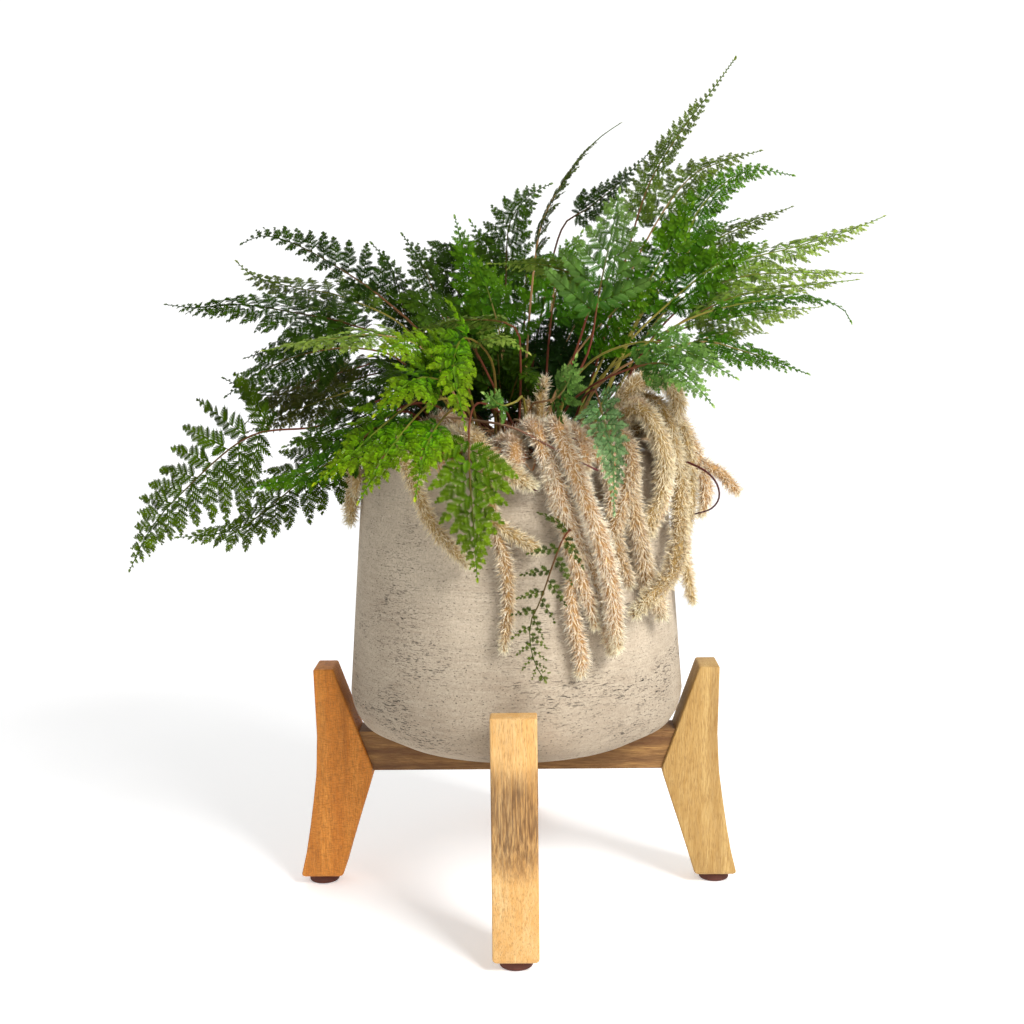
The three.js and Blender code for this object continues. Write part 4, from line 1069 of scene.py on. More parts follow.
BUNCHES = (
    Bunch("rhizome_main_hank", Fur.TAN, (
        Branch(6, ((12, -74, 350), (17, -92, 373), (23, -116, 370), (29, -128, 344), (39, -126, 313),
            (53, -122, 284), (64, -120, 254), (69, -121, 216))),
        Branch(6, ((28, -72, 350), (31, -102, 378), (33, -128, 374), (48, -135, 334), (60, -134, 300),
            (68, -132, 264), (72, -133, 222))),
        Branch(5, ((50, -124, 292), (40, -126, 266), (41, -127, 241), (46, -128, 219), (46, -129, 202))),
        Branch(7, ((-12, -80, 350), (0, -84, 366), (18, -84, 372), (34, -80, 368), (42, -74, 350))),
    )),
    Bunch("rhizome_left_bunch", Fur.CREAM, (
        Branch(6, ((-50, -62, 350), (-44, -82, 370), (-30, -114, 372), (-18, -130, 359), (-4, -132, 348),
            (14, -132, 338))),
        Branch(4, ((-24, -124, 364), (-20, -128, 345), (-16, -127, 325), (-13, -128, 305), (-7, -130, 284),
            (-5, -132, 255), (-9, -135, 222)), Fur.RUST),
        Branch(4, ((-14, -129, 312), (4, -130, 301), (17, -131, 293))),
        Branch(7, ((-60, -48, 348), (-59, -60, 364), (-48, -70, 370), (-34, -76, 364), (-28, -76, 348))),
    )),
    Bunch("rhizome_left_thin", Fur.CREAM, (
        Branch(4.5, ((-72, -44, 348), (-80, -62, 367), (-83, -98, 364), (-70, -110, 335), (-60, -115, 312),
            (-45, -123, 294), (-33, -128, 282))),
    )),
    Bunch("rhizome_inner_bunch", Fur.RUST, (
        Branch(6, ((52, -68, 350), (66, -88, 373), (79, -98, 368), (84, -103, 345), (75, -109, 316),
            (66, -117, 292))),
        Branch(6, ((82, -100, 350), (84, -103, 327), (91, -100, 292), (96, -96, 268), (109, -86, 234))),
        Branch(4.5, ((72, -110, 310), (74, -111, 288), (83, -108, 262))),
    )),
    Bunch("rhizome_right_bunch", Fur.CREAM, (
        Branch(6, ((80, -28, 350), (94, -38, 370), (112, -50, 370), (124, -53, 345), (124, -60, 300),
            (117, -88, 272), (100, -112, 258), (84, -126, 245))),
        Branch(6, ((74, -52, 350), (79, -64, 386), (91, -68, 406), (106, -68, 409), (119, -66, 402),
            (122, -61, 388), (111, -48, 368))),
        Branch(6, ((76, -56, 362), (80, -72, 382), (93, -86, 388), (103, -88, 376), (109, -85, 358),
            (113, -80, 336))),
        Branch(5, ((110, -84, 352), (108, -82, 324), (100, -88, 310), (97, -92, 296))),
    )),
    Bunch("rhizome_edge_bunch", Fur.TAN, (
        Branch(5.5, ((82, -8, 350), (98, -16, 372), (116, -24, 379), (130, -27, 372), (140, -30, 348),
            (147, -34, 325), (144, -36, 303))),
        Branch(4.3, ((128, -26, 374), (136, -18, 350), (138, -18, 320), (132, -24, 289), (133, -30, 262),
            (137, -36, 236))),
        Branch(4, ((142, -31, 344), (158, -35, 336), (172, -38, 320))),
    )),
)

CROWN = (
    Bunch("crown_lumps", Fur.TAN, (
        Branch(7.0, ((5, -58, 362), (20, -66, 371), (34, -74, 373), (43, -88, 370), (46, -104, 366),
            (48, -119, 359), (48, -127, 347))),
        Branch(6.5, ((40, -78, 366), (54, -84, 371), (63, -95, 368), (67, -105, 361), (69, -110, 350),
            (68, -113, 338))),
        Branch(5.8, ((-66, -48, 374), (-54, -62, 381), (-43, -74, 378), (-35, -88, 370), (-31, -103, 366),
            (-28, -114, 360))),
        Branch(6.0, ((-14, -84, 362), (-4, -96, 367), (1, -107, 366), (1, -119, 360), (-2, -127, 348))),
        Branch(6.2, ((16, -88, 363), (24, -100, 368), (26, -112, 366), (27, -124, 356), (26, -129, 342))),
    )),
    Bunch("crown_strands", Fur.TAN, (
        Branch(5.2, ((8, -78, 362), (12, -100, 379), (19, -124, 370), (23, -125, 352), (31, -126, 325),
            (39, -127, 295), (50, -127, 262), (57, -126, 236))),
        Branch(4.6, ((72, -44, 364), (78, -56, 390), (93, -78, 391), (102, -84, 378), (110, -70, 357),
            (114, -64, 334), (109, -68, 314), (99, -82, 296))),
        Branch(4.0, ((50, -66, 362), (42, -84, 374), (47, -102, 371), (57, -115, 361), (66, -113, 346),
            (70, -112, 332), (67, -116, 314))),
        Branch(3.2, ((40, -96, 366), (46, -114, 363), (48, -120, 352), (50, -120, 340), (51, -120, 326))),
    )),
    Bunch("crown_pale_strands", Fur.CREAM, (
        Branch(4.6, ((84, -34, 366), (92, -44, 390), (101, -56, 395), (111, -64, 387), (117, -66, 372),
            (121, -60, 351), (126, -44, 323), (126, -46, 303), (127, -46, 278))),
        Branch(4.2, ((92, -22, 364), (104, -32, 383), (117, -40, 384), (127, -44, 373), (132, -46, 354),
            (134, -46, 334), (134, -46, 312), (130, -48, 291))),
        Branch(2.6, ((126, -48, 290), (129, -48, 274), (133, -46, 254), (137, -44, 236))),
    )),
    Bunch("crown_buds", Fur.CREAM, (
        Branch(3.6, ((20, -50, 370), (20, -51, 386), (21, -52, 400), (25, -54, 411))),
        Branch(3.2, ((76, -60, 366), (78, -63, 377), (79, -65, 389))),
        Branch(3.0, ((13, -44, 370), (11, -46, 384), (12, -48, 395))),
    )),
)

SHOULDERS = (
    Spray("upper_left_shoulder", Leaf.DARK, (-26, 16), (
        Frond(88, 30, (0.1, -0.9, 0.4), ((-46, 30, 430), (-60, 40, 468), (-72, 46, 500), (-88, 50, 524))),
        Frond(84, 26, (0, -0.85, 0.5), ((-58, 44, 428), (-90, 60, 458), (-122, 72, 480), (-146, 80, 488))),
    )),
    # Leaf.DEEP here is painted shade.
    Spray("upper_right_shoulder", Leaf.DEEP, (34, 26), (
        Frond(84, 34, (0.1, -0.9, 0.4), ((52, 30, 404), (78, 34, 420), (102, 38, 422), (122, 42, 410))),
        Frond(84, 32, (-0.1, -0.9, 0.4), ((60, 28, 416), (94, 30, 444), (118, 34, 460), (138, 38, 468)),
            leaf=Leaf.DARK),
    )),
)

SPRIG = Spray("frond_hanging_sprig", Leaf.SPRIG, None, (
    Frond(118, 24, (0, -1, 0.1), ((35, -138, 304), (28, -147, 290), (18, -150, 262), (10, -150, 243),
        (12, -149, 219), (20, -147, 203)), stem=0.8, full=0.55, taper=0.45),
), start=(41, -127, 308))


# Sub-assemblies


@dataclass
class Stand:
    """Four bent oak legs on rubber feet, round two half-lapped rails."""

    turn: float = -0.88
    thick: float = 33.2
    rows: tuple[tuple[float, float, float], ...] = (
        (7, 142.9, 176.7),
        (28, 136.7, 171.7),
        (50, 129.9, 167.9),
        (72, 122.9, 164.7),
        (91, 117.0, 162.2),
        (98, 116.4, 161.6),
        (125, 126.1, 160.4),
        (152, 135.8, 161.1),
        (180, 145.9, 161.8),
    )
    edge: float = 1.4
    foot_edge: float = 3.4
    foot_radius: float = 12
    foot_height: float = 6.7
    foot_inset: float = 1.5
    foot_bevel: float = 0.9

    def build(self) -> None:
        """Models a leg and a foot once, copies them and repaints the rails."""
        leg, foot = self._leg(), self._foot()
        finishes = {
            "right": Oak("oak_right_leg", "d6b678", "a87e3c", streaks=0.32),
            "back": Oak("oak_back_leg", "dca85e", "ad6e2c", streaks=0.35),
            "left": Oak("oak_left_leg", "f2a848", "cc761c", streaks=0.4, saw=0.7),
            "front": Oak("oak_front_leg", "ecca90", "d29a50", streaks=0.12, scorch=(0.063, 0.15)),
        }
        rubber = Plain("foot_rubber", "542c22", "6a3c2e", 0.75).material()
        for step, (place, finish) in enumerate(finishes.items()):
            matrix = Matrix.Rotation(math.radians(self.turn + 90 * step), 4, "Z")
            slot = "oak_light" if place in ("right", "front") else "oak_dark"
            dress(Bench.copy(leg, f"oak_leg_{place}", matrix), finish.material(), slot, f"leg_{place}")
            dress(Bench.copy(foot, f"rubber_foot_{place}", matrix), rubber, "rubber", f"foot_pad_{place}")
        for made in (leg, foot):
            bpy.data.objects.remove(made)
        repaint("rail_side_to_side", Oak("oak_side_rail", "c09252", "5c3818", Along.SIDE, 1.0).material())
        repaint("rail_front_to_back", Oak("oak_deep_rail", "ba8c4e", "5e3a18", Along.DEEP, 0.8).material())
        LOG.info("stand: four legs, four feet, two rails")

    def _leg(self) -> Object:
        """A leg on the X axis, grown upwards row by row from a block's top face."""
        Bench.clear()
        (low, inner, outer), (high, next_inner, next_outer) = self.rows[:2]
        bpy.ops.mesh.primitive_cube_add(size=1)
        made = bpy.context.object
        made.scale = ((outer - inner) * MM, self.thick * MM, (high - low) * MM)
        made.location = ((inner + outer) / 2 * MM, 0, (low + high) / 2 * MM)
        made = Bench.start("leg_pattern")
        self._fit_top(made, high, (inner, outer), (next_inner, next_outer))
        before, level = (next_inner, next_outer), high
        for height, inner, outer in self.rows[2:]:
            top = level * MM
            Bench.select(made, "faces", lambda middle: middle.z > top - NEAR)
            bpy.ops.mesh.extrude_region_move(TRANSFORM_OT_translate={"value": (0, 0, (height - level) * MM)})
            self._fit_top(made, height, before, (inner, outer))
            before, level = (inner, outer), height
        Bench.select(made, "edges", lambda middle: middle.z < (low + 0.1) * MM)
        bpy.ops.mesh.bevel(offset=self.foot_edge * MM, segments=4, affect="EDGES")
        return Bench.finish(made, angle=30, bevel=self.edge)

    @staticmethod
    def _fit_top(made: Object, height: float, was: Pair, now: Pair) -> None:
        """Scales and moves the top face in X.

        Args:
            made: The leg in edit mode.
            height: The face's height.
            was: The inner and outer radius that it spans.
            now: The radii that it will span.
        """
        top = height * MM
        Bench.select(made, "faces", lambda middle: middle.z > top - NEAR)
        ratio = (now[1] - now[0]) / (was[1] - was[0])
        middle_was, middle_now = sum(was) / 2 * MM, sum(now) / 2 * MM
        bpy.ops.transform.resize(value=(ratio, 1, 1), center_override=(middle_was, 0, top))
        bpy.ops.transform.translate(value=(middle_now - middle_was, 0, 0))

    def _foot(self) -> Object:
        """A rubber disc under the leg's foot, with a soft lower edge."""
        Bench.clear()
        _, inner, outer = self.rows[0]
        bpy.ops.mesh.primitive_cylinder_add(
            vertices=40,
            radius=self.foot_radius * MM,
            depth=self.foot_height * MM,
            location=((inner + outer) / 2 * MM, 0, self.foot_height / 2 * MM),
        )
        made = Bench.start("foot_pattern")
        Bench.select(made, "faces", lambda middle: middle.z < NEAR)
        bpy.ops.mesh.inset(thickness=self.foot_inset * MM, depth=0)
        return Bench.finish(made, bevel=self.foot_bevel)


@dataclass
class Planter:
    """The washed-concrete planter: a rounded foot, a straight taper and a thin soft rim."""

    base: float = 128.3
    edge: float = 35
    foot: tuple[Pair, ...] = (
        (36, 0), (30, 1), (27, 2.6), (8.6, 12.6), (7.6, 13.6), (3.4, 20.5), (1, 28), (0, 35),
    )
    wide: float = 132.5
    rim: float = 118
    top: float = 355.7
    wall: float = 9
    floor: float = 12
    drain: float = 8
    inner_edge: float = 22
    rim_round: float = 3.5
    rim_ease: float = 2
    sides: int = 144

    @property
    def slope(self) -> float:
        """How much the radius falls for each millimetre up the wall."""
        return (self.wide - self.rim) / (self.top - self.base - self.edge)

    def radius_at(self, height: float) -> float:
        """The wall's outer radius at a height."""
        return self.rim + self.slope * (self.top - height)

    def build(self) -> None:
        """Turns the planter from its drain hole out, up, over the rim and back down."""
        floor = self.base + self.floor
        inner_foot = self.radius_at(floor + self.inner_edge) - self.wall
        wall = np.linspace(self.base + self.edge, self.top - 4, 9)[1:]
        rim_centre = (self.rim - self.rim_round, self.top - self.rim_round)
        ease_centre = (self.rim - self.wall + self.rim_ease, self.top - self.rim_ease)
        inner_centre = (inner_foot - self.inner_edge, floor + self.inner_edge)
        profile = [
            (self.drain, self.base),
            (40, self.base),
            *[(self.wide - inset, self.base + z) for inset, z in self.foot],
            *[(self.radius_at(z), z) for z in wall],
            *arc(rim_centre, self.rim_round, 10, 90, 4),
            *arc(ease_centre, self.rim_ease, 90, 180, 5),
            *arc(inner_centre, self.inner_edge, 0, -90, 5),
            (self.drain, floor),
            (self.drain, self.base),
        ]
        made = Bench.finish(Bench.turned("concrete_planter", profile, self.sides), angle=26)
        dress(made, Concrete().material(), "concrete", "planter")
        LOG.info("planter: %d faces", len(made.data.polygons))


@dataclass
class NurseryPot:
    """The thin black pot that shows its rim inside the planter."""

    floor: float = 140.6
    foot: float = 80
    top_radius: float = 104
    top: float = 352
    wall: float = 2.4
    band: float = 2
    band_height: float = 18
    drain: float = 12
    foot_rise: float = 4
    foot_chamfer: float = 3
    lip: float = 0.8

    def inner_radius(self, height: float) -> float:
        """The wall's inner radius at a height."""
        share = (height - self.floor) / (self.top - self.floor)
        return self.foot + (self.top_radius - self.band - self.foot) * share - self.wall

    def build(self) -> None:
        """Turns the pot, with a rolled rim band."""
        band, foot, lip = self.top - self.band_height, self.floor + self.foot_rise, self.lip
        profile = [
            (self.drain, self.floor),
            (self.foot - self.foot_chamfer, self.floor),
            (self.inner_radius(foot) + self.wall, foot),
            (self.inner_radius(band) + self.wall, band),
            (self.top_radius - 0.6, band),
            (self.top_radius, band + lip),
            (self.top_radius, self.top - lip),
            (self.top_radius - lip, self.top),
            (self.inner_radius(self.top) + lip, self.top),
            (self.inner_radius(self.top), self.top - lip),
            (self.inner_radius(self.floor + self.wall), self.floor + self.wall),
            (self.drain, self.floor + self.wall),
            (self.drain, self.floor),
        ]
        made = Bench.finish(Bench.turned("black_nursery_pot", profile, 96), angle=30)
        finish = Plain("black_plastic", "17181a", "2a2b2d", 0.32, 180)
        dress(made, finish.material(), "black_plastic", "nursery_pot")
        LOG.info("nursery pot: %d faces", len(made.data.polygons))


@dataclass
class Soil:
    """The compost's low dome, with crumbs, bark and coir strands on top."""

    pot: NurseryPot
    edge_z: float = 343
    crown_z: float = 367
    gap: float = 0.6
    shoulder: float = 58
    fall: float = 16
    sunk: float = 8
    rough: float = 1.7
    chips: int = 560
    chip_size: Pair = (1.2, 5.5)
    chip_form: Point = (0.7, 1.0, 0.5)
    bark: tuple[str, ...] = ("2a1b10", "4a3220", "6d4c30", "8a6a48", "1d130c")
    strands: int = 300
    strand_radius: float = 0.28
    coir: tuple[str, ...] = ("a9774d", "8a5c38", "c39a6e")
    tufts: tuple[tuple[float, float, int], ...] = ((212, 250, 130), (252, 305, 120))
    tuft_roots: Pair = (70, 92)
    tuft_route: tuple[Pair, ...] = ((101, 358), (114, 360), (122, 354), (124, 346))
    tuft_radius: float = 0.27
    tuft_coir: tuple[str, ...] = ("a9693d", "8a5030", "c38f60")

    @property
    def radius(self) -> float:
        """The dome's radius, just inside the pot."""
        return self.pot.inner_radius(self.edge_z) - self.gap

    def top(self, radius: float) -> float:
        """The smooth dome's height at a radius; it falls away near the pot's wall."""
        past = np.clip((radius - self.shoulder) / self.fall, 0, 1)
        dome = self.edge_z + (self.crown_z - self.edge_z) * (1 - (radius / self.radius) ** 2)
        return dome - self.sunk * past**2 * (3 - 2 * past)

    def build(self) -> None:
        """Builds the dome and strews the chips and strands."""
        dress(self._dome(), Compost().material(), "soil", "soil")
        dress(self._litter(), Tinted("soil_litter", 0.9, 0.6, 300).material(), "soil")
        LOG.info("soil: dome and %d loose bits", self.chips + self.strands)

    def _dome(self) -> Object:
        """Turns the soil and roughens its top."""
        low = self.pot.floor + self.pot.wall + self.gap
        top = [(self.radius * share, self.top(self.radius * share)) for share in np.linspace(1, 0.015, 40)]
        bottom = self.pot.inner_radius(low) - 0.8
        made = Bench.turned("compost_dome", [(1.5, low), (bottom, low), *top], 96)
        Bench.select(made, "edges", lambda at: math.hypot(at.x, at.y) < 2 * MM)
        bpy.ops.mesh.edge_face_add()
        Bench.finish(made, angle=60)
        for vertex in made.data.vertices:
            radius = math.hypot(vertex.co.x, vertex.co.y) / MM
            if vertex.co.z > (self.edge_z - self.sunk + 0.5) * MM and radius < self.radius - 1.5:
                vertex.co.z += noise.fractal(vertex.co * 60, 0.8, 2.2, 4) * self.rough * MM
        return made

    def _litter(self) -> Object:
        """Bark chips and curled coir strands on the dome."""
        rng = np.random.default_rng(SEED)
        sheaf = Sheaf()
        self._strew(sheaf, rng)
        for _ in range(self.strands):
            self._strand(sheaf, rng)
        for start, end, number in self.tufts:
            for _ in range(number):
                self._tuft(sheaf, rng, rng.uniform(start, end))
        return sheaf.build("soil_litter", smooth=False)

    def _strew(self, sheaf: Sheaf, rng: Generator) -> None:
        """Adds the bark chips, each turned its own way.

        Args:
            sheaf: The litter.
            rng: The random draws.
        """
        count = self.chips
        radius = self.radius * 0.96 * np.sqrt(rng.random(count))
        turn = rng.random(count) * 2 * np.pi
        heights = self.top(radius) + rng.uniform(-0.3, 1.2, count)
        origins = np.stack([radius * np.cos(turn), radius * np.sin(turn), heights], axis=1)
        first = unit(rng.normal(size=(count, 3)))
        second = unit(np.cross(first, rng.normal(size=(count, 3))))
        sizes = rng.uniform(*self.chip_size, count)[:, None] * np.array(self.chip_form)
        shades = np.array([linear(colour) for colour in self.bark])
        tints = shades[rng.integers(0, len(shades), count)][:, None]
        sheaf.add_copies(self._chip(), origins, frames_of(first, second), sizes, tints)

    @staticmethod
    def _chip() -> Pattern:
        """A bark chip: a block drawn in at one end and notched."""
        Bench.clear()
        bpy.ops.mesh.primitive_cube_add(size=1)
        made = Bench.start("chip_pattern")
        Bench.select(made, "faces", lambda middle: middle.y > 0.4)
        Bench.grow((0.12, 0.3, 0.05), (0.55, 1, 0.6), (0.1, 0.8, 0))
        return Pattern.taken_from(Bench.finish(made))

    def _strand(self, sheaf: Sheaf, rng: Generator) -> None:
        """Adds one coir strand that lies on the dome in a loose curl.

        Args:
            sheaf: The litter.
            rng: The random draws.
        """
        radius, turn = self.radius * 0.9 * math.sqrt(rng.random()), rng.random() * 2 * math.pi
        heading, curl = rng.random() * 2 * math.pi, rng.uniform(-0.5, 0.5)
        step, lift = rng.uniform(2.5, 6), rng.uniform(0.4, 5)
        x, y = radius * math.cos(turn), radius * math.sin(turn)
        widest = self.radius * 0.97
        points = []
        for k in range(7):
            height = self.top(min(math.hypot(x, y), widest))
            points.append((x, y, height + 0.6 + lift * math.sin(math.pi * k / 6)))
            heading += curl
            x += step * math.cos(heading)
            y += step * math.sin(heading)
        centres = np.array(points)
        centres[:, :2] *= np.minimum(1, widest / np.hypot(*centres[:, :2].T))[:, None]
        colour = linear(self.coir[rng.integers(0, 3)])
        sheaf.add_wire(centres, (0, 0, 1.0), self.strand_radius, colour)

    def _tuft(self, sheaf: Sheaf, rng: Generator, degrees: float) -> None:
        """Adds one coir strand that runs from the soil over both rims and hangs a little.

        Args:
            sheaf: The litter.
            rng: The random draws.
            degrees: Where it starts round the rim.
        """
        places = ((rng.uniform(*self.tuft_roots), self.pot.top), *self.tuft_route)
        lift = rng.uniform(0, 5)
        points = []
        for radius, height in places[: rng.integers(3, 6)]:
            radius += rng.uniform(-1, 2)
            points.append(turned_point(radius, degrees, height + lift * rng.uniform(0.4, 1)))
            degrees += rng.uniform(-4, 4)
        centres = Spline(points).at(np.linspace(0, 1, 7))
        colour = linear(self.tuft_coir[rng.integers(0, 3)])
        sheaf.add_wire(centres, (0, 0, 1.0), self.tuft_radius, colour)


@dataclass
class Rhizomes:
    """The furry creeping stems: a tapering skin under a coat of combed hair."""

    bunches: tuple[Bunch, ...]
    density: float = 0.8
    hair_length: Pair = (2.8, 7.6)
    hair_width: float = 0.56
    skin: float = 0.86
    step: float = 4
    tip_from: float = 0.85
    tip: float = 0.35
    knob: float = 0.07
    knob_run: float = 9
    combed: float = 0.65
    lift: Pair = (0.5, 1.7)
    clump: float = 0.12
    clump_run: float = 5
    wild: float = 0.34
    pale_from: float = 0.9
    dull_share: float = 0.15
    dull: float = 0.62
    tip_colour: str = "eee9c8"

    def build(self) -> None:
        """Builds one piece for each bunch."""
        finish = Tinted("rhizome_hair", 0.5, 0.15, 220, 0.6, 0.45).material()
        hair = self._hair()
        for number, bunch in enumerate(self.bunches):
            rng = np.random.default_rng(SEED + 101 * number)
            sheaf = Sheaf()
            for branch in bunch.branches:
                self._grow(sheaf, hair, branch, branch.fur or bunch.fur, bunch.coat, rng)
            made = sheaf.build(f"furry_{bunch.name}")
            dress(made, finish, bunch.fur.slot, *known(bunch.name))
            LOG.info("%s: %d triangles", made.name, sheaf.triangles())

    @staticmethod
    def _hair() -> Pattern:
        """One flat hair: a narrow blade drawn to a point."""
        root = 0.45
        made = Bench.sheet("hair_pattern", 1, root)
        Bench.select(made, "edges", lambda middle: middle.y > root - 0.05)
        bpy.ops.transform.resize(value=(0.7, 1, 1), center_override=(0, root, 0))
        Bench.grow((0, 0.55, 0), (0.02, 1, 1), (0, 1, 0))
        bpy.ops.mesh.merge(type="CENTER")
        return Pattern.taken_from(Bench.finish(made)).bent(0.22)

    def _grow(
        self, sheaf: Sheaf, hair: Pattern, branch: Branch, fur: Fur, coat: float, rng: Generator
    ) -> None:
        """Adds one branch's skin and hair.

        Args:
            sheaf: The bunch's piece.
            hair: The hair that is copied.
            branch: The branch.
            fur: Its hair colours.
            coat: How dense its hair is.
            rng: The random draws.
        """
        curve = Spline(branch.route)
        count = max(6, round(curve.length / self.step))
        shares = np.linspace(0, 1, count)
        centres, along = curve.at(shares), curve.along(shares)
        sides, ups = carried(along)
        past = np.clip((shares - self.tip_from) / (1 - self.tip_from), 0, 1)
        knobs = 1 + self.knob * np.sin(curve.length * shares / self.knob_run + rng.random() * 6)
        radii = branch.radius * self.skin * knobs * (1 - (1 - self.tip) * past**1.5)
        # Painted shade: the skin under the hair is darkened further, to 0.7 of its colour.
        sheaf.add_tube(centres, sides, ups, radii, np.tile(fur.colours[0], (count, 1)) * 0.7, 10)

        def read(values: Array) -> Array:
            """Vectors along the branch, read at each hair's root."""
            return np.stack([np.interp(where, shares, values[:, k]) for k in range(3)], axis=1)

        hairs = round(curve.length * 2 * math.pi * branch.radius * self.density * coat)
        where = np.sort(rng.random(hairs)) ** 0.96
        turn = rng.random(hairs) * 2 * np.pi
        ahead, side = unit(read(along)), unit(read(sides))
        out = np.cos(turn)[:, None] * side + np.sin(turn)[:, None] * np.cross(side, ahead)
        near_tip = np.clip((where - self.pale_from) / 0.1, 0, 1)[:, None]
        lift = rng.uniform(*self.lift, hairs)[:, None] * (1 - 0.5 * near_tip)
        lift = lift + self.clump * np.sin(curve.length * where / self.clump_run + 3 * np.sin(turn))[:, None]
        heading = unit(ahead * self.combed + out * lift + rng.normal(0, self.wild, (hairs, 3)))
        across = unit(np.cross(heading, out + rng.normal(0, 0.35, (hairs, 3))))
        frames = frames_of(across, heading)
        lengths = rng.uniform(*self.hair_length, hairs) * (0.7 + 0.3 * branch.radius / 6)
        widths = self.hair_width * rng.uniform(0.7, 1.25, hairs)
        sizes = np.stack([widths, lengths, lengths], axis=1)
        roots = read(centres) + out * np.interp(where, shares, radii)[:, None] * 0.96
        sheaf.add_copies(hair, roots, frames, sizes, self._tints(hair, fur, rng, near_tip))

    def _tints(self, hair: Pattern, fur: Fur, rng: Generator, near_tip: Array) -> Array:
        """Each hair's colours, from the skin's colour at the root, partly painted shade, to its pale tip; the
        growing tip is paler.
        """
        skin, middle, pale = fur.colours
        count = len(near_tip)
        tone = (rng.random(count) ** 0.62)[:, None, None]
        body = middle * (1 - tone) + pale * tone
        body = body * np.where(rng.random(count) < self.dull_share, self.dull, 1.0)[:, None, None]
        body = body * (1 - near_tip[..., None]) + linear(self.tip_colour) * near_tip[..., None]
        # Partly painted shade: each hair blends into the skin colour towards its root, where the hairs shade
        # one another.
        root = (1 - hair.points[:, 1][None, :, None]) ** 2.2
        return skin * root + body * (1 - root)


@dataclass(frozen=True)
class Growth:
    """One frond as it grows: the piece it joins, its form, its leaf, its rib's curve and its random draws."""

    sheaf: Sheaf
    frond: Frond
    leaf: Leaf
    curve: Spline
    rng: Generator

    @property
    def bare(self) -> float:
        """The share of the rib that has no pinnae."""
        return max(0.0, 1 - self.frond.blade / self.curve.length)

    def axes(self, along: Array) -> tuple[Array, Array]:
        """The axes to the frond's side and to its upper face."""
        side = unit(np.cross(along, unit(np.array(self.frond.face, float))))
        return side, np.cross(side, along)


@dataclass(frozen=True)
class Pinna:
    """One side branch of a frond: where it starts, its axes and form, and how it is coloured."""

    start: Array
    heading: Array
    up: Array
    along: Array
    length: float
    arch: float
    hook: float
    gap: float
    part: float
    tone: float

    def at(self, reach: Array) -> Array:
        """Points at shares of the vein's length."""
        reach = np.atleast_1d(reach)[:, None]
        bend = reach * self.heading - self.arch * reach**2 * self.up + self.hook * reach**2 * self.along
        return self.start + self.length * bend


